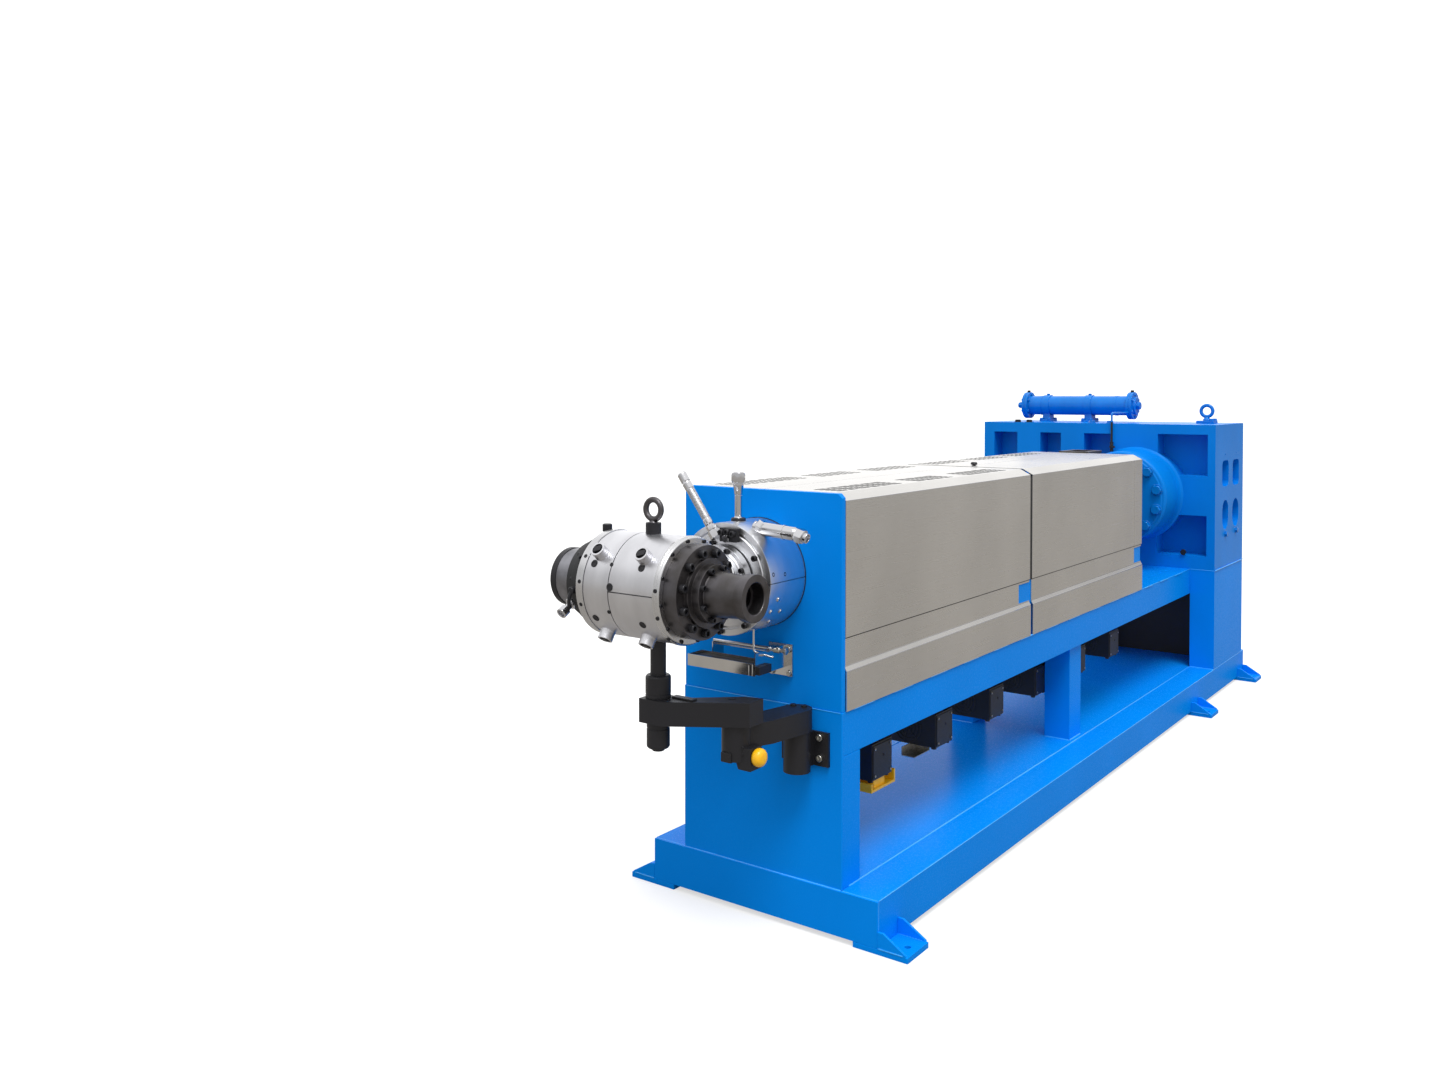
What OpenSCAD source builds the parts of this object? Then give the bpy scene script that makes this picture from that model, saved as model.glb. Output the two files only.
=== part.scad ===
// Single screw extruder with a crosshead for covering wire.
// X = 0 and the line height give the screw axis, which runs along Y.
// The end plate stands at Y = 0, the head is in front of it (-Y) and the gearbox behind (+Y).
// The floor is Z = 0 and every size is in millimetres.

/* [Screw line] */
// Height of the screw axis above the floor
line_h = 1000; // [980:5:1020]
// Diameter of the screw
screw_d = 100; // [80:5:110]
// Outside diameter of the barrel
barrel_d = 170; // [150:2:176]
// Outside diameter of the heater shells on the barrel
barrel_heater_d = 236; // [210:2:250]
// Number of heating zones, each with its own blower
zones = 6; // [5:1:6]
// Distance between two heating zones
zone_pitch = 430; // [420:2:436]

/* [Base] */
// Width of the base over its two long channels
base_w = 782; // [740:2:840]
// Rear end of the base
base_end_y = 3956; // [3940:4:4000]
// Height of the floor plate
deck_z = 142; // [130:2:160]
// Thickness of the channel walls and of the floor plate
base_t = 8; // [6:1:12]
// Thickness of the anchor foot plates
foot_t = 16; // [12:1:20]
// Length of an anchor foot along the base
foot_len = 122; // [110:2:140]
// How far an anchor foot stands out from the base
foot_out = 92; // [84:2:100]
// Height of the gussets on the anchor feet
foot_gusset_h = 46; // [36:2:60]
// Diameter of the anchor holes
anchor_hole_d = 18; // [14:1:22]
// Start of the middle anchor feet
mid_foot_y = 2976; // [2500:20:3200]

/* [Stand] */
// Width of the stand and of the end plate
stand_w = 548; // [530:2:560]
// Height of the top of the long rails
rail_top_z = 634; // [620:2:650]
// Height of the long rails
rail_h = 123; // [100:1:140]
// Width of the long rails
rail_w = 80; // [70:2:90]
// Depth of the front posts
post_d = 90; // [80:2:110]
// Width of the front posts
post_w = 60; // [50:2:74]
// Start of the middle posts
mid_post_y = 1766; // [1600:10:1780]
// Length of the middle posts along the base
mid_post_len = 123; // [100:1:130]
// Width of the middle posts
mid_post_w = 102; // [90:2:110]
// How far the middle posts stand back from the side of the rails
mid_post_back = 18; // [10:1:24]
// How far the lower front panel stands out past the end plate
panel_out = 2; // [1:0.5:4]
// Thickness of the bed plate and of the shelf
bed_t = 20; // [15:1:25]
// Start of the bed plate behind the last blower
bed_y = 2680; // [2670:5:2700]
// Depth of the open space in the pedestal
pedestal_hollow = 273; // [240:1:320]

/* [End plate and hoods] */
// Thickness of the end plate
plate_t = 20; // [16:1:24]
// Height of the top of the hoods and of the end plate above the screw axis
hood_rise = 238; // [225:1:250]
// Thickness of the hood sheet
sheet_t = 3; // [2:0.5:4]
// Chamfer of the two top corners of the end plate
plate_chamfer = 12; // [6:1:20]
// Width of the chamfer along the top of the hoods
hood_chamfer_w = 39; // [12:1:60]
// Height of the chamfer along the top of the hoods
hood_chamfer_h = 20; // [8:1:40]
// Rear end of the front hood
hood_split_y = 1317; // [1290:1:1340]
// Gap between the front and the rear hood
hood_gap = 20; // [12:1:30]
// Rear end of the rear hood
hood_end_y = 2594; // [2585:1:2600]
// Depth of the lower edge of the hoods below the screw axis
hood_drop = 161; // [140:1:180]
// Depth of the ledge along the skirts below the screw axis
ledge_drop = 243; // [230:1:260]
// How far the lower part of the skirts stands out
skirt_out = 4; // [2:0.5:6]
// Length of the notches at the rear end of the skirts
notch_len = 95; // [60:1:110]
// Height of the notches
notch_h = 67; // [40:1:72]

/* [Gearbox] */
// Front face of the gearbox
gear_y = 3367; // [3357:1:3377]
// Length of the gearbox along the screw axis
gear_len = 548; // [500:2:560]
// Left side of the gearbox, measured from the screw axis
gear_left = 834; // [820:2:850]
// Height of the top of the gearbox above the screw axis
gear_rise = 357; // [350:1:370]
// Depth of the cast pockets in the front face
pocket_depth = 110; // [60:5:120]
// Depth of the recesses in the right side
recess_depth = 30; // [15:1:40]
// Diameter of the round bearing housing
bearing_d = 450; // [430:2:470]
// Length of the bearing housing in front of the gearbox
bearing_len = 250; // [230:1:255]
// Diameter of the input shaft
shaft_d = 60; // [50:1:70]
// Length of the free end of the input shaft
shaft_len = 110; // [90:5:130]

/* [Oil cooler] */
// Diameter of the oil cooler shell
cooler_d = 106; // [96:1:110]
// Diameter of the end flanges of the oil cooler
cooler_flange_d = 148; // [136:1:156]
// Height of the cooler axis above the gearbox
cooler_rise = 90; // [84:1:100]
// Left end of the cooler shell
cooler_left = 720; // [700:2:730]
// Right end of the cooler shell
cooler_right = 105; // [100:1:120]

/* [Crosshead] */
// Distance from the end plate to the axis of the head
head_out = 380; // [376:1:390]
// Outside diameter of the heater shells on the head
shell_d = 282; // [278:1:290]
// Thickness of the heater shells on the head
shell_t = 15; // [12:0.5:20]
// Diameter of the clamp on the barrel
clamp_d = 312; // [296:2:330]
// Length of the clamp on the barrel
clamp_len = 173; // [160:1:176]
// Diameter of the neck flange
neck_flange_d = 196; // [180:2:206]
// Diameter of the neck
neck_d = 144; // [120:2:150]
// Diameter of the cable channel through the head
channel_d = 44; // [36:1:50]
// Diameter of the dark die flange
die_flange_d = 246; // [236:1:250]
// Diameter of the die hub
die_hub_d = 152; // [140:1:160]
// Diameter of the die nozzle where it leaves the hub
nozzle_root_d = 122; // [112:1:130]
// Diameter of the die nozzle behind its collar
nozzle_d = 108; // [104:1:112]
// Diameter of the collar at the tip of the nozzle
nozzle_collar_d = 117; // [114:1:122]
// Diameter of the mouth of the nozzle
nozzle_bore_d = 80; // [74:1:90]
// Depth of the mouth of the nozzle
nozzle_bore_len = 38; // [30:1:44]
// Diameter of the guide tube
guide_d = 158; // [150:1:170]
// Diameter of the mouth of the guide tube
guide_bore_d = 126; // [110:1:134]
// Depth of the mouth of the guide tube
guide_bore_len = 46; // [30:1:60]

/* [Support arm] */
// Diameter of the support rod
rod_d = 42; // [36:1:46]
// Depth of the lower face of the outer arm below the screw axis
outer_arm_drop = 357; // [345:1:360]
// Height of the outer arm
outer_arm_h = 64; // [56:1:70]
// Height of the inner arm
inner_arm_h = 62; // [54:1:62]
// Radius of the round rear end of the inner arm
inner_end_r = 42; // [38:1:42]
// Radius of the elbow hub
hub_r = 40; // [34:1:42]
// Radius of the hinge post on the bracket
hinge_post_r = 38; // [34:1:38]
// Diameter of the two hinge pins
hinge_pin_d = 24; // [18:1:30]

/* [Hidden] */
$fn = 64;

// Paint and metal colours
blue = "#0074DE";
stainless = "#BDB6AD";
cast_alu = "#C4C4C8";
dark_steel = "#4A4A4E";
black = "#222224";
yellow = "#F6B31C";

// Clearances
eps = 1;              // overlap of cutting bodies
body_gap = 0.5;       // between faces of pieces that move apart
pin_gap = 0.06;       // around a hinge pin, on the radius
seat_gap = 5;         // between the clamp and the neck flange, left open by the seal ring inside
split_gap = 2;        // between two halves of a clamp or heater

// Places worked out from the sizes above
hs = stand_w / 2;
hb = base_w / 2;
base_y0 = -base_t;
rail_low_z = rail_top_z - rail_h;
hood_top_z = line_h + hood_rise;
hood_low_z = line_h - hood_drop;
ledge_z = line_h - ledge_drop;
gear_top_z = line_h + gear_rise;
outer_arm_z = line_h - outer_arm_drop;
head_body_d = shell_d - 2 * shell_t;
head_ring_d = shell_d + 4;
gear_rear_y = gear_y + gear_len;
beam_flange = 60;
end_flange = 100;
blower_y = [for (i = [0 : zones - 1]) 449 + zone_pitch * i];
feet_y = [base_y0, mid_foot_y, base_end_y - foot_len];
anchor_x = hb + 60;
pin_r = hinge_pin_d / 2;

// Head measures along its own axis, left to right, and the same for the arm in plan
head_ring_x = [-229, -205, 34, 53];
shell_split_x = -117;
rod_x = -60;
rod_y = -head_out - 5;
hinge_xy = [160, -50];
elbow_xy = [115, 108 - head_out];

// Box from two corners
module block(a, b) translate(a) cube(b - a);
// Cylinder along X from x0 to x1 on the head axis
module head_disc(x0, x1, d) translate([x0, -head_out, line_h]) rotate([0, 90, 0]) cylinder(d = d, h = x1 - x0);
// Cylinder along Y from y0 to y1 on the screw axis
module line_disc(y0, y1, d) translate([0, y0, line_h]) rotate([-90, 0, 0]) cylinder(d = d, h = y1 - y0);
// Outline in X and Z carried along Y from y0 to y1
module along_y(y0, y1) translate([0, y1, 0]) rotate([90, 0, 0]) linear_extrude(y1 - y0) children();
// The same piece on the other side of the screw axis
module other_side() mirror([1, 0, 0]) children();

// Long channel of the base with its wide top flange
module base_beam() {
    color(blue) along_y(0, base_end_y - base_t) polygon([
        [hb, foot_t], [hb, deck_z], [hs, deck_z], [hs, deck_z - base_t], [hb - base_t, deck_z - base_t],
        [hb - base_t, foot_t + base_t], [hb - beam_flange - base_t, foot_t + base_t],
        [hb - beam_flange - base_t, foot_t]]);
}
module base_beams() {
    base_beam();
    other_side() base_beam();
}

// Web and two flanges across the front or rear end
module end_beam(web_y, flange_y0, flange_y1) {
    color(blue) {
        block([-hb, web_y, foot_t], [hb, web_y + base_t, deck_z]);
        block([-hs, flange_y0, deck_z - base_t], [hs, flange_y1, deck_z]);
        block([-hs, flange_y0, foot_t], [hs, flange_y1, foot_t + base_t]);
    }
}
// Both end beams, and bars between the channels under the floor plate
module base_cross_members() {
    bars = 4;
    bar_x = hb - base_t;
    end_beam(base_y0, base_y0, end_flange);
    end_beam(base_end_y - base_t, base_end_y - end_flange, base_end_y);
    color(blue) for (i = [1 : bars]) translate([0, i * base_end_y / (bars + 1), 0])
        block([-bar_x, -40, foot_t + base_t], [bar_x, 40, deck_z - base_t]);
}
module floor_plate() {
    color(blue) block([-hs, end_flange, deck_z - base_t], [hs, base_end_y - end_flange, deck_z]);
}

// One anchor foot on the right: plate with its hole and two gussets
module anchor_foot(y0) {
    difference() {
        block([hb - 77, y0, 0], [hb + foot_out, y0 + foot_len, foot_t]);
        translate([anchor_x, y0 + foot_len / 2, -eps]) cylinder(d = anchor_hole_d, h = foot_t + 2 * eps);
    }
    for (y = [y0, y0 + foot_len - base_t]) along_y(y, y + base_t)
        polygon([[hb, foot_t], [hb, foot_t + foot_gusset_h], [hb + 17, foot_t + foot_gusset_h],
            [hb + foot_out - 5, foot_t + 4], [hb + foot_out - 5, foot_t]]);
}
module anchor_feet() color(blue) for (y = feet_y) {
    anchor_foot(y);
    other_side() anchor_foot(y);
}

// Stand
module front_panel() {
    color(blue) block([-hs - panel_out, -panel_out, deck_z], [hs + panel_out, 10, rail_top_z]);
}
module posts() {
    x1 = hs - mid_post_back;
    color(blue) for (side = [-1, 1]) scale([side, 1, 1]) {
        block([hs - post_w, 10, deck_z], [hs, 10 + post_d, rail_low_z]);
        block([x1 - mid_post_w, mid_post_y, deck_z], [x1, mid_post_y + mid_post_len, rail_low_z]);
    }
}
module rails() {
    color(blue) for (side = [-1, 1]) scale([side, 1, 1])
        block([hs - rail_w, 10, rail_low_z], [hs, gear_y + pedestal_hollow, rail_top_z]);
}
module bed_plate() {
    color(blue) block([rail_w - hs, bed_y, rail_top_z - bed_t], [hs - rail_w, gear_y + pedestal_hollow, rail_top_z]);
}

// Pedestal under the gearbox
module pedestal_sides() {
    color(blue) for (side = [-1, 1]) scale([side, 1, 1])
        block([hs, gear_y, deck_z], [hb, gear_rear_y, rail_top_z]);
}
module pedestal_back() {
    back_y = gear_y + pedestal_hollow;
    color(blue) {
        block([-hs, back_y, deck_z], [hs, back_y + bed_t, rail_top_z]);
        block([-hs, back_y, rail_top_z - bed_t], [hs, gear_rear_y, rail_top_z]);
    }
}
// Shelf and two gussets that carry the overhang of the gearbox on the left
module gearbox_shelf() {
    color(blue) {
        block([-gear_left, gear_y, rail_top_z - bed_t], [-hb, gear_rear_y, rail_top_z]);
        for (y = [gear_y, gear_rear_y - bed_t]) along_y(y, y + bed_t)
            polygon([[-hb, rail_top_z - bed_t], [-gear_left, rail_top_z - bed_t],
                [-gear_left, rail_top_z - 3 * bed_t], [-hb, rail_top_z - 334]]);
    }
}

// End plate with its chamfered top corners and the hole for the barrel
module end_plate() {
    color(blue) difference() {
        along_y(0, plate_t) polygon([[-hs, rail_top_z], [hs, rail_top_z],
            [hs, hood_top_z - plate_chamfer], [hs - plate_chamfer, hood_top_z],
            [plate_chamfer - hs, hood_top_z], [-hs, hood_top_z - plate_chamfer]]);
        line_disc(-eps, plate_t + eps, barrel_d);
    }
}

// Outline of a hood, an angle of sheet with a chamfered edge, right half
module hood_outline() {
    t = sheet_t;
    w = hood_chamfer_w;
    h = hood_chamfer_h;
    polygon([[hs, hood_low_z], [hs, hood_top_z - h], [hs - w, hood_top_z], [0.5, hood_top_z],
        [0.5, hood_top_z - t], [hs - w - t * 0.4, hood_top_z - t], [hs - t, hood_top_z - h - t * 0.4],
        [hs - t, hood_low_z]]);
}
module hood(y0, y1) color(stainless) along_y(y0, y1) hood_outline();
module hoods_front() {
    hood(plate_t, hood_split_y);
    other_side() hood(plate_t, hood_split_y);
}
module hoods_rear() {
    hood(hood_split_y + hood_gap, hood_end_y);
    other_side() hood(hood_split_y + hood_gap, hood_end_y);
}

// Skirt: lower panel, sloping ledge and the recessed strip below the hood
module skirt_outline() {
    t = sheet_t;
    out = hs + skirt_out;
    lip_z = hood_low_z + 20;
    polygon([[out, rail_top_z], [out, ledge_z - 12], [hs - t, ledge_z], [hs - t, lip_z],
        [hs - 2 * t, lip_z], [hs - 2 * t, ledge_z - 1], [out - t, ledge_z - 13], [out - t, rail_top_z]]);
}
module skirt(y0, y1) {
    color(stainless) difference() {
        along_y(y0, y1) skirt_outline();
        block([hs - 20, y1 - notch_len, ledge_z + 5], [hs + 20, y1 + eps, ledge_z + 5 + notch_h]);
    }
}
// Inner bracket that shows through the notch and joins skirt and rail
module skirt_bracket(y1) {
    x1 = hs - 2 * sheet_t;
    color(blue) block([x1 - 14, y1 - notch_len - 10, rail_top_z], [x1, y1, hood_low_z - 3]);
}
module skirt_side() {
    skirt(plate_t, hood_split_y);
    skirt(hood_split_y + hood_gap, hood_end_y);
    skirt_bracket(hood_split_y);
    skirt_bracket(hood_end_y);
}
module skirts() {
    skirt_side();
    other_side() skirt_side();
}

// Plate that closes the hoods at the back, with its hole around the barrel
module hood_closing_plate() {
    w = hs - 2 * sheet_t - 14;
    top = hood_top_z - sheet_t;
    flat = hs - hood_chamfer_w - 4;
    color(stainless) difference() {
        along_y(hood_end_y - 8, hood_end_y - 8 + sheet_t) polygon([[-w, rail_top_z], [w, rail_top_z],
            [w, top - hood_chamfer_h + 6], [flat, top], [-flat, top], [-w, top - hood_chamfer_h + 6]]);
        line_disc(hood_end_y - 20, hood_end_y + 20, barrel_d);
    }
}

// Plasticising unit
feed_y0 = hood_end_y + 6;
bearing_y = gear_y - bearing_len;
module barrel() {
    color(dark_steel) difference() {
        line_disc(-clamp_len, feed_y0, barrel_d);
        line_disc(-clamp_len - eps, feed_y0 + eps, screw_d + 2 * body_gap);
    }
}
module screw() color(cast_alu) line_disc(-clamp_len + 20, bearing_y, screw_d);

// Heater shells on the barrel, the last one cut short by the closing plate
module barrel_heaters() {
    shell_len = zone_pitch - 60;
    color(cast_alu) for (y = blower_y) difference() {
        line_disc(y - shell_len / 2, min(y + shell_len / 2, hood_end_y - 10), barrel_heater_d);
        line_disc(y - shell_len, y + shell_len, barrel_d);
    }
}

// Blowers below the barrel: box, neck and duct that ends on the heater shell
blower_x = [-60, 150];
blower_z = [318, 432];
blower_len = 125;
module blowers() {
    color(black) difference() {
        for (y = blower_y) {
            block([blower_x[0], y - blower_len / 2, blower_z[0]], [blower_x[1], y + blower_len / 2, blower_z[1]]);
            block([-40, y - 50, blower_z[1]], [140, y - 18, rail_low_z]);
            block([-40, y - 50, rail_low_z], [40, y - 18, line_h]);
        }
        line_disc(0, hood_end_y + 100, barrel_heater_d);
    }
}
// Yellow angle below the first blower
module blower_guard() {
    y0 = blower_y[0] - 65;
    color(yellow) {
        block([60, y0, blower_z[0] - 36], [blower_x[1], y0 + 150, blower_z[0] - 28]);
        block([60, y0 + 142, blower_z[0] - 36], [blower_x[1], y0 + 150, blower_z[0] + 6]);
        block([60, y0, blower_z[0] - 36], [blower_x[1], y0 + 8, blower_z[0] - 8]);
        block([70, y0 + 30, blower_z[0] - 28], [140, y0 + 100, blower_z[0]]);
    }
}

// Feed block with its throat and the flange that carries a hopper
feed_half = 110;
throat_x = [-90, 0];
throat_y = [feed_y0 + 25, feed_y0 + 165];
module feed_block() {
    flange_z = hood_top_z + 6;
    wall = 18;
    color(dark_steel) difference() {
        union() {
            block([-feed_half, feed_y0, line_h - feed_half], [feed_half, bearing_y, line_h + feed_half]);
            block([throat_x[0] - wall, throat_y[0] - wall, line_h], [throat_x[1] + wall, throat_y[1] + wall, flange_z - 12]);
            block([throat_x[0] - wall - 6, throat_y[0] - wall - 6, flange_z - 12],
                [throat_x[1] + wall + 6, throat_y[1] + wall + 6, flange_z]);
            block([-feed_half, feed_y0 + 180, rail_top_z], [feed_half, bearing_y - 80, line_h]);
        }
        line_disc(feed_y0 - eps, bearing_y + eps, screw_d + 2 * body_gap);
        block([throat_x[0], throat_y[0], line_h], [throat_x[1], throat_y[1], flange_z + eps]);
    }
}

// Gearbox
// Pockets of the front face as left, right, bottom and top
pocket_z = [rail_top_z + 67, gear_top_z - 53];
pockets = [[58 - gear_left, 192 - gear_left, pocket_z[0], pocket_z[1]],
    [322 - gear_left, 437 - gear_left, pocket_z[0], pocket_z[1]],
    [-272, -131, pocket_z[0], pocket_z[1]],
    [110, hb - 37, line_h + 102, pocket_z[1] + 4],
    [108, hb - 40, pocket_z[0], line_h - 97]];
// Recesses of the right side as start, end, bottom, top and corner radius
recesses = [[131, 255, 43, 174, 30], [335, 463, 39, 171, 30],
    [138, 252, -176, -27, 56], [335, 459, -177, -32, 60]];
module rounded_recess(y0, y1, z0, z1, r) {
    x0 = hb - recess_depth;
    block([x0, y0 + r, z0], [hb + eps, y1 - r, z1]);
    block([x0, y0, z0 + r], [hb + eps, y1, z1 - r]);
    for (y = [y0 + r, y1 - r], z = [z0 + r, z1 - r])
        translate([x0, y, z]) rotate([0, 90, 0]) cylinder(r = r, h = recess_depth + eps);
}
module gearbox_housing() {
    boss_d = bearing_d + 16;
    color(blue) difference() {
        block([-gear_left, gear_y, rail_top_z], [hb, gear_rear_y, gear_top_z]);
        difference() {
            for (p = pockets) block([p[0], gear_y - eps, p[2]], [p[1], gear_y + pocket_depth, p[3]]);
            line_disc(gear_y - 2 * eps, gear_y + pocket_depth + eps, boss_d);
        }
        for (r = recesses) rounded_recess(gear_y + r[0], gear_y + r[1], line_h + r[2], line_h + r[3], r[4]);
    }
}
module bearing_housing() {
    bevel = 6;
    color(blue) {
        line_disc(bearing_y + bevel, gear_y, bearing_d);
        translate([0, bearing_y, line_h]) rotate([-90, 0, 0])
            cylinder(d1 = bearing_d - 2 * bevel, d2 = bearing_d, h = bevel);
    }
}
shaft_x = -600;
module input_shaft() {
    color(dark_steel) translate([shaft_x, gear_rear_y, line_h]) rotate([-90, 0, 0]) {
        cylinder(d = shaft_d + 60, h = 25);
        cylinder(d = shaft_d, h = 25 + shaft_len);
    }
}

// Lifting eye on a foot: ring around Y, shank down to the foot
module eyebolt(ring_r, wire_r, shank_h) {
    translate([0, 0, shank_h + ring_r]) rotate([90, 0, 0]) rotate_extrude()
        translate([ring_r - wire_r, 0]) circle(r = wire_r);
    cylinder(r = wire_r * 1.5, h = shank_h + wire_r);
}
gear_eye = [hb - 124, gear_y + 0.57 * gear_len];
eye_pad_h = 15;
module gearbox_eyebolt() {
    color(blue) translate([gear_eye[0], gear_eye[1], gear_top_z]) {
        block([-45, -40, 0], [45, 40, eye_pad_h]);
        translate([0, 0, eye_pad_h]) eyebolt(38, 9, 12);
    }
}

// Oil cooler on top of the gearbox
cooler_y = gear_eye[1];
cooler_z = gear_top_z + cooler_rise;
module cooler_disc(x0, x1, d) translate([x0, cooler_y, cooler_z]) rotate([0, 90, 0]) cylinder(d = d, h = x1 - x0);
module cooler_shell() {
    flange_t = 30;
    color(blue) {
        cooler_disc(-cooler_left, -cooler_right, cooler_d);
        for (x = [-cooler_left, -cooler_right - flange_t]) cooler_disc(x, x + flange_t, cooler_flange_d);
        cooler_disc(-cooler_left - 12, -cooler_right + 12, cooler_d - 10);
        cooler_disc(-cooler_left - 45, -cooler_right + 30, 36);
    }
}
saddle_x = [-590, -352];
module cooler_saddles() {
    saddle_w = 40;
    color(blue) difference() {
        for (x = saddle_x) {
            block([x - 34, cooler_y - 55, gear_top_z], [x + 34, cooler_y + 55, gear_top_z + 12]);
            block([x - saddle_w / 2, cooler_y - 35, gear_top_z], [x + saddle_w / 2, cooler_y + 35, cooler_z]);
            cooler_disc(x - saddle_w / 2, x + saddle_w / 2, cooler_d + 10);
        }
        cooler_disc(-cooler_left, -cooler_right, cooler_d);
    }
}
// Thin pipe from a valve on the gearbox front to the right flange of the cooler
module cooler_pipe() {
    pipe_x = -cooler_right - 15;
    pipe_y = gear_y - 15;
    pipe_z = cooler_z - 35;
    valve_z = line_h + bearing_d / 2 + 12;
    reach = sqrt(pow(cooler_flange_d / 2, 2) - 30 * 30) + body_gap / 2;
    color(dark_steel) {
        block([pipe_x - 10, gear_y - 26, valve_z - 15], [pipe_x + 10, gear_y, valve_z + 15]);
        translate([pipe_x, pipe_y, valve_z]) cylinder(r = 5, h = pipe_z + 5 - valve_z);
        translate([pipe_x, pipe_y, pipe_z]) rotate([-90, 0, 0]) cylinder(r = 5, h = cooler_y - reach - pipe_y);
    }
}

// Two clamp halves on the front end of the barrel
module barrel_clamp() {
    color(cast_alu) difference() {
        line_disc(-clamp_len, 0, clamp_d);
        line_disc(-clamp_len - eps, eps, barrel_d);
        block([-clamp_d, -clamp_len - eps, line_h - split_gap / 2], [clamp_d, eps, line_h + split_gap / 2]);
    }
}

// Drip tray below the clamp
module drip_tray() {
    t = sheet_t;
    x = [-135, 97];
    y = [-165, -100];
    z = [line_h - clamp_d / 2 - 102, line_h - clamp_d / 2 - 69];
    ear_z = z[0] + 62;
    bar_y = -60;
    color(stainless) {
        block([35, -6, max(z[0] - 28, rail_top_z + panel_out)], [115, 0, ear_z]);
        block([x[1], y[0], z[0]], [x[1] + t, 0, ear_z]);
        block([x[0], y[0], z[0]], [x[1], y[1], z[0] + t]);
        block([x[0], y[0], z[0]], [x[1], y[0] + t, z[1]]);
        block([x[0], y[1] - t, z[0]], [x[1], y[1], z[1]]);
        block([x[0], y[0], z[0]], [x[0] + t, y[1], z[1]]);
        translate([x[0] + 40, bar_y, ear_z - 9]) rotate([0, 90, 0]) cylinder(r = 8, h = x[1] + t - x[0] - 40);
        block([x[0] + 40, y[1] - t, z[0]], [x[0] + 40 + t, bar_y + 8, ear_z]);
    }
}

// Sensors on the clamp
module pressure_sensor() {
    face_y = -clamp_len;
    low_z = line_h + neck_flange_d / 2 + 8;
    color(cast_alu) block([-5, face_y - 18, low_z], [56, face_y, low_z + 38]);
    color(cast_alu) translate([-15, face_y - 14, low_z + 10]) rotate([0, -36, 0]) {
        cylinder(r = 16, h = 40, $fn = 6);
        cylinder(r = 12, h = 197);
        translate([0, 0, 172]) cylinder(r = 13.5, h = 40);
    }
}
module on_clamp() {
    difference() {
        children();
        line_disc(-clamp_len, 0, clamp_d);
    }
}
module thermocouple() {
    color(cast_alu) on_clamp() translate([-8, -95, line_h + clamp_d / 2 - 20]) {
        cylinder(r = 20, h = 30);
        cylinder(r = 10.5, h = 120);
        translate([0, 0, 92]) cylinder(r1 = 10.5, r2 = 15, h = 34);
        translate([0, 0, 126]) cylinder(r = 22, h = 30, $fn = 6);
    }
}
module side_transducer() {
    color(cast_alu) on_clamp() translate([40, -115, line_h + clamp_d / 2 - 12]) rotate([0, 94, 0]) {
        cylinder(r = 16, h = 170);
        translate([0, 0, 55]) cylinder(r1 = 23, r2 = 17, h = 20);
        translate([0, 0, 160]) rotate([0, 12, 0]) cylinder(r = 20, h = 36, $fn = 6);
    }
}
module clamp_sensors() {
    pressure_sensor();
    thermocouple();
    side_transducer();
}

// Support arm
inner_arm_z = outer_arm_z - 1 - inner_arm_h;
bracket_z = [inner_arm_z - 101, inner_arm_z - 6];
pin_reach = 40;       // length of a hinge pin in its bore
module arm_bracket() {
    post_z = bracket_z[0] - 13;
    post_top = inner_arm_z - body_gap;
    color(black) {
        block([84, -12, bracket_z[0]], [238, -panel_out, bracket_z[1]]);
        translate([hinge_xy[0], hinge_xy[1], post_z]) cylinder(r = hinge_post_r, h = post_top - post_z);
        block([hinge_xy[0] - 30, hinge_xy[1], bracket_z[0]], [hinge_xy[0] + 30, -panel_out, bracket_z[1]]);
        translate([hinge_xy[0], hinge_xy[1], post_z]) cylinder(r = pin_r, h = post_top + pin_reach - post_z);
    }
}
module arm_inner() {
    hub_low_z = inner_arm_z - 32;
    color(black) difference() {
        union() {
            translate([0, 0, inner_arm_z]) linear_extrude(inner_arm_h) union() {
                translate(hinge_xy) circle(r = inner_end_r);
                polygon([[hinge_xy[0] + inner_end_r, hinge_xy[1]], [elbow_xy[0] + 66, elbow_xy[1] + 78],
                    [elbow_xy[0] + 39, elbow_xy[1] + 10], elbow_xy, [elbow_xy[0] - hub_r, elbow_xy[1] + 8],
                    [hinge_xy[0] - inner_end_r, hinge_xy[1]]]);
                translate(elbow_xy) circle(r = hub_r);
            }
            translate([elbow_xy[0], elbow_xy[1], hub_low_z]) cylinder(r = hub_r, h = inner_arm_z + inner_arm_h + body_gap - hub_low_z);
            translate([elbow_xy[0], elbow_xy[1], hub_low_z]) cylinder(r = pin_r, h = outer_arm_z + pin_reach - hub_low_z);
        }
        translate([hinge_xy[0], hinge_xy[1], inner_arm_z - eps]) cylinder(r = pin_r + pin_gap, h = pin_reach + 6 + eps);
    }
}
module arm_knob() {
    color(yellow) translate([elbow_xy[0] + 12, elbow_xy[1], inner_arm_z - 17]) rotate([0, 90, 0]) difference() {
        union() {
            cylinder(r = 9, h = 56);
            translate([0, 0, 54]) cylinder(r = 21, h = 24);
        }
        translate([0, 0, -12]) rotate([0, -90, 0]) translate([0, 0, -60]) cylinder(r = hub_r, h = 120);
    }
}
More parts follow.
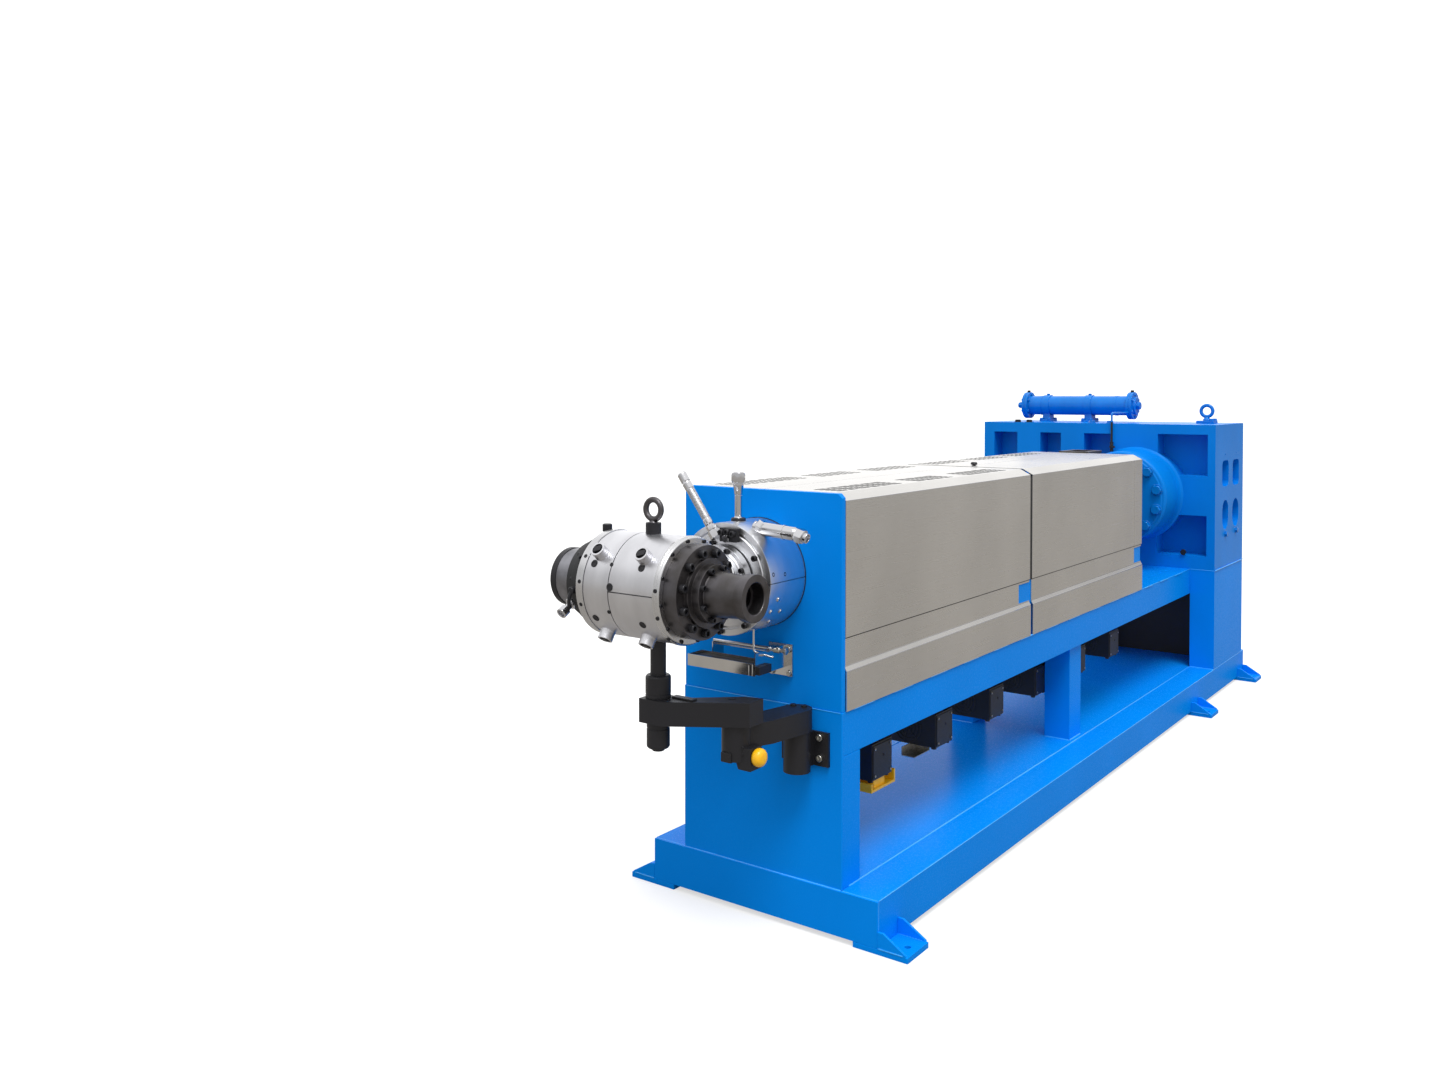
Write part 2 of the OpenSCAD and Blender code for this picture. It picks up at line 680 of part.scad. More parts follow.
module arm_outer() {
    color(black) difference() {
        translate([0, 0, outer_arm_z]) linear_extrude(outer_arm_h) polygon([
            [rod_x - 35, rod_y - 38], [rod_x + 38, rod_y - 38], elbow_xy + [58, -22], elbow_xy + [58, 40],
            elbow_xy + [7, 29], [rod_x + 38, rod_y + 13], [rod_x + 35, rod_y + 38], [rod_x - 35, rod_y + 38]]);
        translate([elbow_xy[0], elbow_xy[1], outer_arm_z - eps]) cylinder(r = pin_r + pin_gap, h = pin_reach + 6 + eps);
        translate([rod_x, rod_y, 0]) cylinder(d = rod_d, h = line_h);
    }
}

// Crosshead
module support_rod() {
    nut_z = outer_arm_z - 70;
    color(black) difference() {
        translate([rod_x, rod_y, 0]) {
            translate([0, 0, nut_z - 8]) cylinder(r = 18, h = 10);
            translate([0, 0, nut_z]) cylinder(r = 31, h = outer_arm_z - nut_z);
            translate([0, 0, nut_z]) cylinder(d = rod_d, h = line_h - nut_z);
            translate([0, 0, outer_arm_z + outer_arm_h]) cylinder(r = 34, h = 61);
        }
        head_disc(-200, 40, head_body_d);
    }
}
module neck() {
    y1 = -clamp_len - seat_gap;
    color(cast_alu) difference() {
        union() {
            line_disc(y1 - 32, y1, neck_flange_d);
            line_disc(-head_out, y1, neck_d);
        }
        head_disc(-200, 200, head_body_d);
        head_disc(head_ring_x[2], 200, head_ring_d);
    }
}
module head_body() {
    color(cast_alu) difference() {
        union() {
            head_disc(head_ring_x[0], head_ring_x[3], head_body_d);
            head_disc(head_ring_x[0], head_ring_x[1], head_ring_d);
            head_disc(head_ring_x[2], head_ring_x[3], head_ring_d);
        }
        head_disc(head_ring_x[0] - eps, head_ring_x[3] + eps, channel_d);
    }
}
module head_heaters() {
    color(cast_alu) difference() {
        for (x = [[head_ring_x[1], shell_split_x - 1], [shell_split_x + 1, head_ring_x[2]]])
            head_disc(x[0], x[1], shell_d);
        head_disc(-300, 100, head_body_d);
        block([-300, -head_out - shell_d, line_h - split_gap / 2], [100, 0, line_h + split_gap / 2]);
        line_disc(-head_out, 0, neck_d);
        translate([rod_x, rod_y, 0]) cylinder(d = rod_d, h = line_h);
        translate([eye_x, -head_out, line_h]) cylinder(r = eye_base_r, h = shell_d);
    }
}
// Socket bosses that press on the die centring, as place along the head and angle
boss_places = [[-165, 40], [-15, 40], [-175, -58], [-31, -57]];
module head_bosses() {
    color(cast_alu) difference() {
        for (b = boss_places, side = [0, 1]) translate([b[0], -head_out, line_h])
            rotate([90 - (side == 0 ? b[1] : 180 - b[1]), 0, 0]) cylinder(r = 19, h = shell_d / 2 + 26);
        head_disc(-300, 100, shell_d);
    }
}
die_x = [53, 96, 107, 131, 225, 253];
module die_flange() {
    color(dark_steel) difference() {
        union() {
            head_disc(die_x[0], die_x[1], die_flange_d);
            head_disc(die_x[1], die_x[2], die_hub_d + 28);
            head_disc(die_x[2], die_x[3], die_hub_d);
        }
        head_disc(die_x[0] - eps, die_x[3] + eps, channel_d);
    }
}
module die_nozzle() {
    color(dark_steel) difference() {
        union() {
            translate([die_x[3], -head_out, line_h]) rotate([0, 90, 0])
                cylinder(d1 = nozzle_root_d, d2 = nozzle_d, h = die_x[4] - die_x[3]);
            head_disc(die_x[4], die_x[5], nozzle_collar_d);
        }
        head_disc(die_x[3] - eps, die_x[5], channel_d);
        head_disc(die_x[5] - nozzle_bore_len, die_x[5] + eps, nozzle_bore_d);
    }
}
guide_x = [-386, -300, -270, -229];
module guide_rings() {
    color(black) difference() {
        union() {
            head_disc(guide_x[1], guide_x[2], guide_d + 52);
            head_disc(guide_x[2], guide_x[3], guide_d + 80);
        }
        head_disc(guide_x[1] - eps, guide_x[3] + eps, channel_d);
    }
}
module guide_tube() {
    color(dark_steel) difference() {
        head_disc(guide_x[0], guide_x[1], guide_d);
        head_disc(guide_x[0], guide_x[1] + eps, channel_d);
        head_disc(guide_x[0] - eps, guide_x[0] + guide_bore_len, guide_bore_d);
    }
}
eye_x = -80;
eye_base_r = 21;
module head_eyebolt() {
    base_top = shell_d / 2 + 29;
    color(black) difference() {
        translate([eye_x, -head_out, line_h]) cylinder(r = eye_base_r, h = base_top);
        head_disc(-300, 100, head_body_d);
    }
    color(dark_steel) translate([eye_x, -head_out, line_h + base_top]) eyebolt(34, 8, 0);
}

base_beams();
base_cross_members();
floor_plate();
anchor_feet();
front_panel();
posts();
rails();
bed_plate();
pedestal_sides();
pedestal_back();
gearbox_shelf();
end_plate();
hoods_front();
hoods_rear();
skirts();
hood_closing_plate();
barrel();
screw();
barrel_heaters();
blowers();
blower_guard();
feed_block();
gearbox_housing();
bearing_housing();
input_shaft();
gearbox_eyebolt();
cooler_shell();
cooler_saddles();
cooler_pipe();
barrel_clamp();
clamp_sensors();
drip_tray();
arm_bracket();
arm_inner();
arm_knob();
arm_outer();
support_rod();
neck();
head_body();
head_heaters();
head_bosses();
die_flange();
die_nozzle();
guide_rings();
guide_tube();
head_eyebolt();
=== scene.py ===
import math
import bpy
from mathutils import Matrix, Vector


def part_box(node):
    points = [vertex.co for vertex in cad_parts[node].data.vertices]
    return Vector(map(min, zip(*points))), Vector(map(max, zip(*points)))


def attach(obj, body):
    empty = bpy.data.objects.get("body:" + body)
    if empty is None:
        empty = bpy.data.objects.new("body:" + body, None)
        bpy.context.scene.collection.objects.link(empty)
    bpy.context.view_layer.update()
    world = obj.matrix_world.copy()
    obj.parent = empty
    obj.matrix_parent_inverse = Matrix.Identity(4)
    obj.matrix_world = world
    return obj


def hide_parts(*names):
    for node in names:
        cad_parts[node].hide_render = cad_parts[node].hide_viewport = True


bl_info = {
    "name": "Wire Covering Extruder",
    "version": (1, 0, 0),
    "blender": (4, 5, 0),
    "location": "3D View > Sidebar > Extruder",
    "description": "Dresses the packed model of a screw extruder with its crosshead",
    "category": "Add Mesh",
}

import bmesh
import bpy
import numpy as np
from bpy.props import FloatProperty, FloatVectorProperty, IntProperty, PointerProperty
from mathutils import Vector

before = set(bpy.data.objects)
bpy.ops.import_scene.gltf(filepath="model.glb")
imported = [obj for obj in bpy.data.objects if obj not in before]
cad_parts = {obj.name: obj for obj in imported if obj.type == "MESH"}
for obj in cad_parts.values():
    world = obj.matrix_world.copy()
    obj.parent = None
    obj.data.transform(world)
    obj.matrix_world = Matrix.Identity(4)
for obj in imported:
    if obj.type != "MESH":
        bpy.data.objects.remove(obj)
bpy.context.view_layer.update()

MM = 0.001


def span(node):
    """Lowest and highest corner of a CAD node in millimetres."""
    low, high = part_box(node)
    return np.array(low) / MM, np.array(high) / MM


def middle(node):
    """Centre of a CAD node's box in millimetres."""
    low, high = span(node)
    return (low + high) / 2


def half_height(node):
    """Half the height of a CAD node, which is the radius of one that lies along a level axis."""
    low, high = span(node)
    return (high[2] - low[2]) / 2


def linear(code):
    """Linear colour with alpha from an sRGB hex value."""
    part = np.array([int(code[i : i + 2], 16) for i in (0, 2, 4)]) / 255
    part = np.where(part <= 0.04045, part / 12.92, ((part + 0.055) / 1.055) ** 2.4)
    return (*part.tolist(), 1.0)


# Places of the machine in millimetres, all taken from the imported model
HOOD_LOW, HOOD_HIGH = span("hoods_front")
REAR_LOW, REAR_HIGH = span("hoods_rear")
CLAMP_LOW, CLAMP_HIGH = span("barrel_clamp")
SHELL_LOW, SHELL_HIGH = span("head_heaters")
GEAR_LOW, GEAR_HIGH = span("gearbox_housing")
RAIL_LOW, RAIL_HIGH = span("rails")
LINE_Z = middle("barrel_clamp")[2]
HEAD = np.array([0.0, middle("guide_rings")[1], LINE_Z])
SHELL_R, CLAMP_R = half_height("head_heaters"), half_height("barrel_clamp")
# Radius of the head below its heater shells, of its end rings, and of the way of the wire through it
CORE_R, END_RING_R, BORE_R = SHELL_R - 15, SHELL_R + 2, 22.0
# Width and height of the chamfer along the top of the hoods
CHAMFER = (39, 20)
# How far the axis of a painted highlight line along a painted edge lies inside its corner
EDGE_IN = 0.9
# Radius that stands for 0 where a profile ends on its axis
TIP = 0.1
# Points closer than this are one point, and edges sharper than this many degrees are rounded
WELD_GAP, BEVEL_FROM = 0.02, 38


# Shapes. Each one is a pair: points in millimetres, and a list of index arrays, one row a face.


def unit(rows, tiny=0.0):
    """Each row divided by its length."""
    return rows / (np.linalg.norm(rows, axis=1, keepdims=True) + tiny)


def facing_out(points, faces):
    """The same closed shape with its faces turned outwards, told by the sign of its volume."""
    volume = 0.0
    for f in faces:
        a = points[f[:, 0]]
        for i in range(1, f.shape[1] - 1):
            volume += np.einsum("ij,ij->", a, np.cross(points[f[:, i]], points[f[:, i + 1]]))
    return points, faces if volume > 0 else [f[:, ::-1] for f in faces]


def joined(*shapes):
    """Several shapes as one."""
    starts = np.cumsum([0] + [len(p) for p, _ in shapes])
    return np.concatenate([p for p, _ in shapes]), [f + s for (_, fs), s in zip(shapes, starts) for f in fs]


def quads(rows, columns, close_rows=False, close_columns=False):
    """Faces of a grid of points with the given counts, wrapped round where asked."""
    i = np.arange(rows if close_rows else rows - 1)[:, None]
    j = np.arange(columns if close_columns else columns - 1)[None, :]
    a, b = i * columns, ((i + 1) % rows) * columns
    k = (j + 1) % columns
    return np.stack([a + j, a + k, b + k, b + j], -1).reshape(-1, 4)


def end_faces(rings, n):
    """The first and the last of some rings of n points, each as one face."""
    return [np.arange(n)[None, ::-1], (rings - 1) * n + np.arange(n)[None, :]]


def corner_ends(corners, width, share, tiny=0.0):
    """Corners, and the points on the edges before and after each, width or a share of the shorter away."""
    p = np.asarray(corners, float)
    back, ahead = np.roll(p, 1, 0) - p, np.roll(p, -1, 0) - p
    lb, la = (np.linalg.norm(edge, axis=1, keepdims=True) + tiny for edge in (back, ahead))
    w = np.minimum(width, np.minimum(lb, la) * share)
    return p, p + back / lb * w, p + ahead / la * w


def eased(rows, width, loop=False):
    """Profile with each corner rounded by a curve of two steps that starts width away from it."""
    p, a, c = corner_ends(rows, width, 0.45, 1e-9)
    soft = np.stack([a, (a + c + 2 * p) / 4, c], 1)
    if loop:
        return soft.reshape(-1, 2)
    return np.concatenate([p[:1], soft[1:-1].reshape(-1, 2), p[-1:]])


def rounded(corners, radius, steps=3):
    """Outline whose corners are quadratic curves: (1 - t)^2 a + 2 t (1 - t) corner + t^2 c."""
    p, a, c = corner_ends(corners, radius, 0.48)
    t = np.linspace(0, 1, steps + 1)[None, :, None]
    soft = (1 - t) ** 2 * a[:, None] + 2 * t * (1 - t) * p[:, None] + t**2 * c[:, None]
    return soft.reshape(-1, p.shape[1])


def turned(rows, sides=48, loop=False, sweep=None, hexed=None):
    """Surface of revolution about Z: a point of the profile (t, r) goes to (r cos a, r sin a, t).

    An open profile runs from one end to the other and is closed by a fan at each end. A loop is
    a ring. sweep = (start, end) in degrees turns only that far and closes both cuts. Where hexed
    is 1 the radius follows a hexagon, r cos(30) / cos(a mod 60 - 30).
    """
    rows = np.asarray(rows, float)
    n = len(rows)
    part = sweep is not None
    a = np.radians(np.linspace(*sweep, sides + 1)) if part else np.arange(sides) * 2 * np.pi / sides
    six = math.cos(math.pi / 6) / np.cos(np.mod(a, math.pi / 3) - math.pi / 6)
    h = np.zeros(n) if hexed is None else np.asarray(hexed, float)
    r = rows[:, 1:2] * (1 + h[:, None] * (six[None, :] - 1))
    points = np.stack([r * np.cos(a), r * np.sin(a), np.broadcast_to(rows[:, :1], r.shape)], -1).reshape(-1, 3)
    faces = [quads(n, len(a), loop, not part)]
    if part:
        ends = np.arange(n) * len(a)
        faces += [ends[None, ::-1], ends[None, :] + len(a) - 1]
    elif not loop:
        faces += end_faces(n, sides)
    return facing_out(points, faces)


def hoop(rows, ease, sides=96, sweep=None):
    """Ring about Z whose closed profile has eased corners."""
    return turned(eased(rows, ease, True), sides, True, sweep)


def torus(big, small, around=48, across=16):
    """Torus about Z: ((big + small cos b) cos a, (big + small cos b) sin a, small sin b)."""
    b = np.arange(across) * 2 * np.pi / across
    return turned(np.stack([small * np.sin(b), big + small * np.cos(b)], -1), around, loop=True)


def prism(outline, low, high, edge=0.0, steps=2):
    """Outline carried along Z, its rim drawn in along the mitre by edge (1 - cos), edge (1 - sin)."""
    p = np.asarray(outline, float)
    d = unit(np.roll(p, -1, 0) - p, 1e-9)
    area = np.sum(p[:, 0] * np.roll(p[:, 1], -1) - p[:, 1] * np.roll(p[:, 0], -1))
    out = np.stack([d[:, 1], -d[:, 0]], -1) * np.sign(area)
    before = np.roll(out, 1, 0)
    mitre = (out + before) / (1 + np.sum(out * before, axis=1, keepdims=True) + 1e-9)
    if edge:
        q = np.linspace(0, np.pi / 2, steps + 1)
        inset = np.concatenate([edge * (1 - np.sin(q)), edge * (1 - np.sin(q[::-1]))])
        z = np.concatenate([low + edge * (1 - np.cos(q)), high - edge * (1 - np.cos(q[::-1]))])
    else:
        inset, z = np.zeros(2), np.array([low, high], float)
    flat = p[None] - mitre[None] * inset[:, None, None]
    points = np.concatenate([flat, np.broadcast_to(z[:, None, None], (len(z), len(p), 1))], -1).reshape(-1, 3)
    return facing_out(points, [quads(len(z), len(p), False, True)] + end_faces(len(z), len(p)))


def brick(low, high, edge=1.0, corner=None):
    """Block from corner to corner with all its edges rounded."""
    (x0, y0, z0), (x1, y1, z1) = low, high
    return prism(rounded([[x0, y0], [x1, y0], [x1, y1], [x0, y1]], corner or edge, 2), z0, z1, edge)


def tube(path, radius, sides=12):
    """Round bar along a path: centre + r (cos b side + sin b up), where side and up stay across it."""
    p = np.asarray(path, float)
    along = unit(np.gradient(p, axis=0))
    spare = np.eye(3)[np.argmin(np.abs(along).max(0))]
    side = unit(np.cross(along, spare))
    up = np.cross(along, side)
    b = np.arange(sides) * 2 * np.pi / sides
    r = np.broadcast_to(np.asarray(radius, float), len(p))[:, None, None]
    around = np.cos(b)[None, :, None] * side[:, None] + np.sin(b)[None, :, None] * up[:, None]
    faces = [quads(len(p), sides, False, True)] + end_faces(len(p), sides)
    return facing_out((p[:, None] + r * around).reshape(-1, 3), faces)


def bend(corners, radius, steps=5):
    """Path through corners with each inner corner replaced by a curve, the ends kept."""
    p = np.asarray(corners, float)
    soft = rounded(p, radius, steps).reshape(len(p), steps + 1, -1)
    return np.concatenate([p[:1], soft[1:-1].reshape(-1, p.shape[1]), p[-1:]])


def placed(shape, at, along=(0, 0, 1), spin=0.0):
    """Copies of a shape with their Z turned to along and their origin put at each place."""
    at = np.atleast_2d(np.asarray(at, float))
    z = unit(np.broadcast_to(np.asarray(along, float), at.shape))
    x = unit(np.cross(np.where(np.abs(z[:, 2:3]) > 0.9, [[0, 1.0, 0]], [[0, 0, 1.0]]), z))
    y = np.cross(z, x)
    s = np.radians(np.broadcast_to(np.asarray(spin, float), len(at)))[:, None]
    x, y = x * np.cos(s) + y * np.sin(s), y * np.cos(s) - x * np.sin(s)
    points, faces = shape
    moved = points @ np.stack([x, y, z], 1) + at[:, None]
    starts = np.arange(len(at))[:, None, None] * len(points)
    return moved.reshape(-1, 3), [(f[None] + starts).reshape(-1, f.shape[1]) for f in faces]


def lathed(rows, ease, sides, at=(0, 0, 0), along=(0, 0, 1)):
    """Solid turned part with eased corners, put at each place."""
    return placed(turned(eased(rows, ease), sides), at, along)


def mirrored(shape):
    """The shape on the other side of the screw line, its faces turned back outwards."""
    points, faces = shape
    return points * [-1, 1, 1], [f[:, ::-1] for f in faces]


def both_sides(*shapes):
    """The shapes and their mirror images, as one."""
    one = joined(*shapes)
    return joined(one, mirrored(one))


def around_line(degrees, radius, y):
    """Places and outward directions round the screw axis: angle 0 points to +X and 90 up."""
    a = np.radians(np.asarray(degrees, float))
    out = np.stack([np.cos(a), np.zeros_like(a), np.sin(a)], -1)
    return np.stack(np.broadcast_arrays(0.0 * a, y, LINE_Z), -1) + out * radius, out


def on_head(x, degrees, radius):
    """Places and outward directions round the head axis: angle 0 points to -Y and 90 up."""
    a = np.radians(np.atleast_1d(np.asarray(degrees, float)))
    out = np.stack([np.zeros_like(a), -np.cos(a), np.sin(a)], -1)
    return np.stack(np.broadcast_arrays(x, 0.0 * a, 0.0), -1) + HEAD + out * radius, out


def on_both_sides(places, radius):
    """The same for pairs of x and angle, on this side of the head and again on its far side."""
    x, a = np.array(places, float).T
    return on_head(np.concatenate([x, x]), np.concatenate([a, 180 - a]), radius)


def along_x(shape, at=HEAD):
    """A shape turned about Z put on the head axis, or level from another place."""
    return placed(shape, at, (1, 0, 0))


def along_line(shape):
    """A shape turned about Z put on the screw axis."""
    return placed(shape, (0, 0, LINE_Z), (0, 1, 0))


def in_plane(degrees):
    """Direction in X and Z that leans by an angle from upright towards +X."""
    return np.array([math.sin(math.radians(degrees)), 0, math.cos(math.radians(degrees))])


def socket_screw(d, head=None):
    """Cap screw: round head d high and 1.5 d across, with a hexagon socket half as deep."""
    h, r, k = head or d, d * 0.75, d * 0.46
    rows = [[0, r * 0.98], [h * 0.88, r], [h, r * 0.9], [h, k * 1.05], [h * 0.5, k], [h * 0.45, 0.02]]
    return turned(rows, 24, hexed=[0, 0, 0, 1, 1, 1])


def set_screw(d):
    """Flush grub screw: a low rim with a hexagon socket."""
    rows = [[-1.5, d / 2], [0.9, d / 2], [1.3, d * 0.44], [1.3, d * 0.3], [0.5, d * 0.28], [0.45, 0.02]]
    return turned(rows, 18, hexed=[0, 0, 0, 1, 1, 1])


def hex_screw(d, washer=True):
    """Hexagon head on a washer: head 0.64 d high, 1.6 d across, its top corners turned off."""
    h, r = d * 0.64, d * 0.92
    head = turned([[0, r], [h * 0.8, r], [h, r * 0.82], [h, 0.02]], 24, hexed=[1, 1, 0, 0])
    if not washer:
        return head
    disc = turned([[0, d * 1.08], [d * 0.12, d * 1.08], [d * 0.16, d * 1.02], [d * 0.16, 0.02]], 24)
    return joined(disc, placed(head, (0, 0, d * 0.15)))


def hex_body(length, across, edge=1.0):
    """Hexagon bar standing on Z with its ends turned off."""
    r = across / 2 / math.cos(math.pi / 6)
    rows = [[0, r * 0.86], [edge * 1.4, r], [length - edge * 1.4, r], [length, r * 0.86]]
    return turned(rows, 24, hexed=[0, 1, 1, 0])


def lifting_eye(big, small, shank, collar):
    """Eye bolt on Z: torus standing on a waisted shank with a collar."""
    rows = [[0, collar], [shank * 0.55, collar], [shank + small * 0.6, small * 1.05]]
    eye = placed(torus(big - small, small, 56, 18), (0, 0, shank + big), (0, 1, 0))
    return joined(eye, lathed(rows, 1.5, 32))


# Materials


def add(tree, kind, settings=(), links=()):
    """Adds a node, sets its properties or sockets, and links its inputs."""
    node = tree.nodes.new(kind)
    for key, value in dict(settings).items():
        if isinstance(key, str) and hasattr(node, key):
            setattr(node, key, value)
        else:
            node.inputs[key].default_value = value
    for key, source in dict(links).items():
        tree.links.new(source, node.inputs[key])
    return node


def surface(name, shades, patch, grain, rough, relief, **sockets):
    """Finish whose colour drifts between two shades over patches while gloss and relief follow a grain.

    patch and grain are the lengths of the pattern in mm, one for all directions or one each for X, Y and Z.
    rough is the lowest and the highest roughness, relief is the height of the grain in mm, and the other
    names are shader sockets. Each noise is stretched from its busy middle, 0.3 to 0.7, to the whole range.
    """
    made = bpy.data.materials.new(name)
    made.use_nodes = True
    tree = made.node_tree
    shader = tree.nodes["Principled BSDF"]
    for key, value in sockets.items():
        shader.inputs[key.replace("_", " ")].default_value = value
    place = add(tree, "ShaderNodeTexCoord").outputs["Object"]
    noises = []
    for lengths, detail in ((patch, 3.0), (grain, 2.0)):
        scale = [1 / (s * MM) for s in np.broadcast_to(lengths, 3).tolist()]
        sized = add(tree, "ShaderNodeMapping", {"Scale": scale}, {"Vector": place}).outputs[0]
        noise = add(tree, "ShaderNodeTexNoise", {"Scale": 1.0, "Detail": detail}, {"Vector": sized})
        noises.append(noise.outputs[0])
    drift, lines = noises
    busy = {1: 0.3, 2: 0.7}
    even = add(tree, "ShaderNodeMapRange", busy, {0: drift}).outputs[0]
    colour = add(tree, "ShaderNodeMix", {"data_type": "RGBA", 6: shades[0], 7: shades[1]}, {0: even})
    gloss = add(tree, "ShaderNodeMapRange", {**busy, 3: rough[0], 4: rough[1]}, {0: lines})
    height = add(tree, "ShaderNodeBump", {"Strength": 0.5, "Distance": relief * MM}, {"Height": lines})
    tree.links.new(colour.outputs[2], shader.inputs["Base Color"])
    tree.links.new(gloss.outputs[0], shader.inputs["Roughness"])
    tree.links.new(height.outputs[0], shader.inputs["Normal"])
    return made


def tints(colour, low, high):
    """A darker and a lighter version of a hex or linear colour."""
    c = np.array((linear(colour) if isinstance(colour, str) else colour)[:3])
    return (*np.minimum(c * low, 1), 1), (*np.minimum(c * high, 1), 1)


def blue_enamel(name):
    # Two-pack machine enamel, sprayed: even and glossy, with faint orange peel 4 mm wide
    return surface(name, tints(colours().blue_paint, 0.95, 1.03), patch=420, grain=4, rough=(0.22, 0.3),
                   relief=0.01, IOR=1.5, Specular_IOR_Level=0.03)


def gloss_enamel(name):
    # The same enamel on the cooler and the bolts, where it keeps its full gloss
    return surface(name, tints(colours().blue_paint, 0.66, 0.78), patch=90, grain=5, rough=(0.14, 0.22),
                   relief=0.02, IOR=1.5, Specular_IOR_Level=0.35)


def bead_enamel(name):
    # The enamel over weld beads and edge lines, paler and glossier than the frame's: painted highlight along them
    paler = np.array(colours().blue_paint) + [0.03, 0.12, 0.1]
    return surface(name, tints(paler, 0.95, 1.1), patch=60, grain=8, rough=(0.1, 0.16), relief=0.02, IOR=1.5,
                   Specular_IOR_Level=0.6)


def painted_casting(name):
    # The same enamel on cast iron: sand grain 7 mm wide shows through the paint
    return surface(name, tints(colours().blue_paint, 0.8, 0.9), patch=260, grain=7, rough=(0.28, 0.38),
                   relief=0.12, IOR=1.5, Specular_IOR_Level=0.1)


def brushed_stainless(name):
    # Sheet of stainless steel with a brushed finish: lines along the sheet, drawn 1.6 mm wide to show
    return surface(name, tints(colours().stainless, 0.88, 1.04), patch=(500, 520, 700), grain=(1.6, 260, 1.6),
                   rough=(0.26, 0.36), relief=0.008, Metallic=1.0)


def mirror_stainless(name):
    # Folded sheet of the drip tray, polished by wiping: a soft mirror
    return surface(name, tints(colours().stainless, 0.88, 1.02), patch=80, grain=(120, 1.4, 1.4),
                   rough=(0.12, 0.2), relief=0.004, Metallic=1.0)


def shell_aluminium(name):
    # Cast aluminium heater shell, turned and blasted: satin, with faint lines around the head
    return surface(name, tints(colours().cast_aluminium, 0.88, 1.05), patch=(60, 160, 160), grain=(1.2, 60, 60),
                   rough=(0.3, 0.42), relief=0.008, Metallic=1.0)


def turned_steel(name):
    # Bright turned steel: close lines around the axis that lies along X
    return surface(name, tints("D4D4D6", 0.88, 1.04), patch=(40, 120, 120), grain=(0.9, 80, 80),
                   rough=(0.18, 0.3), relief=0.004, Metallic=1.0)


def clamp_steel(name):
    # Ground steel of the barrel clamp and the neck, turned about the screw axis
    return surface(name, tints("E2E3E6", 0.94, 1.02), patch=(120, 40, 120), grain=(200, 4, 200),
                   rough=(0.28, 0.34), relief=0.0005, Metallic=1.0)


def polished_steel(name):
    # Chrome-plated and polished fittings: nearly a mirror with a soft haze. Also the bright lines along the folds of
    # hoods and skirts, which are painted highlight
    return surface(name, tints("A6A6AA", 0.9, 1.03), patch=30, grain=3, rough=(0.05, 0.12), relief=0.002,
                   Metallic=1.0)


def nitrided_steel(name):
    # Nitrided tool steel: dark grey with a slight brown cast where the heat has drawn it
    return surface(name, (linear("4A4745"), linear("68666A")), patch=70, grain=(1.4, 50, 50), rough=(0.34, 0.46),
                   relief=0.02, Metallic=1.0)


def black_oxide(name):
    # Blackened steel of screws, rod and arm: near black with an oily half gloss. Also the black ring round the clamp,
    # which is painted shadow
    return surface(name, (linear("121213"), linear("1D1D1E")), patch=50, grain=2.5, rough=(0.26, 0.38),
                   relief=0.03, IOR=1.6)


def powder_black(name):
    # Black powder coat on pressed sheet: fine texture 2 mm wide. Also the black of the strips, sheets and slot rims
    # that are painted shade
    return surface(name, (linear("121315"), linear("1B1C1F")), patch=120, grain=2, rough=(0.42, 0.55),
                   relief=0.05, IOR=1.5)


def yellow_abs(name):
    # Moulded ABS: warm yellow, slightly uneven gloss
    return surface(name, tints(colours().yellow_plastic, 0.93, 1.03), patch=25, grain=1.5, rough=(0.28, 0.4),
                   relief=0.01, IOR=1.53)


def worn_steel(name):
    # Bare turned steel of the guide tube, dulled by handling: mid grey with rings around the axis
    return surface(name, (linear("6E6E72"), linear("94949A")), patch=60, grain=(1.1, 60, 60), rough=(0.28, 0.4),
                   relief=0.006, Metallic=1.0)


def zinc_plate(name):
    # Zinc-plated screws: bright with a faint warm cast
    return surface(name, (linear("A8A6A0"), linear("CFCDC6")), patch=12, grain=2, rough=(0.24, 0.4), relief=0.02,
                   Metallic=1.0)


def braided_sleeve(name):
    # Stainless wire braid over a lead: strands 3 mm wide that catch the light one by one
    return surface(name, (linear("8C8C8E"), linear("D8D8DA")), patch=3, grain=3, rough=(0.28, 0.5), relief=0.3,
                   Metallic=1.0)


def barrel_steel(name):
    # Scaled steel of the heated barrel, screw and feed block
    return surface(name, (linear("4A4643"), linear("6A6764")), patch=(60, 90, 60), grain=(1.5, 60, 1.5),
                   rough=(0.35, 0.5), relief=0.03, Metallic=1.0)


def finish(maker):
    """The material that a maker gives, made once."""
    return bpy.data.materials.get(maker.__name__) or maker(maker.__name__)


def colours():
    """The colours that a user may change."""
    return bpy.context.scene.extruder_colours


def counts():
    """The sizes and counts that a user may change."""
    return bpy.context.scene.extruder_sizes


def shade(mesh, angle):
    """Smooth shading, with edges sharper than the angle in degrees kept sharp."""
    mesh.shade_smooth()
    mesh.set_sharp_from_angle(angle=math.radians(angle))


def flat_faces(made):
    """Normals weighted by area, so flat faces look flat beside rounded edges."""
    made.modifiers.new("flats", "WEIGHTED_NORMAL").keep_sharp = True


def linked(name, data):
    """New object in the scene with the given data."""
    made = bpy.data.objects.new(name, data)
    bpy.context.scene.collection.objects.link(made)
    return made


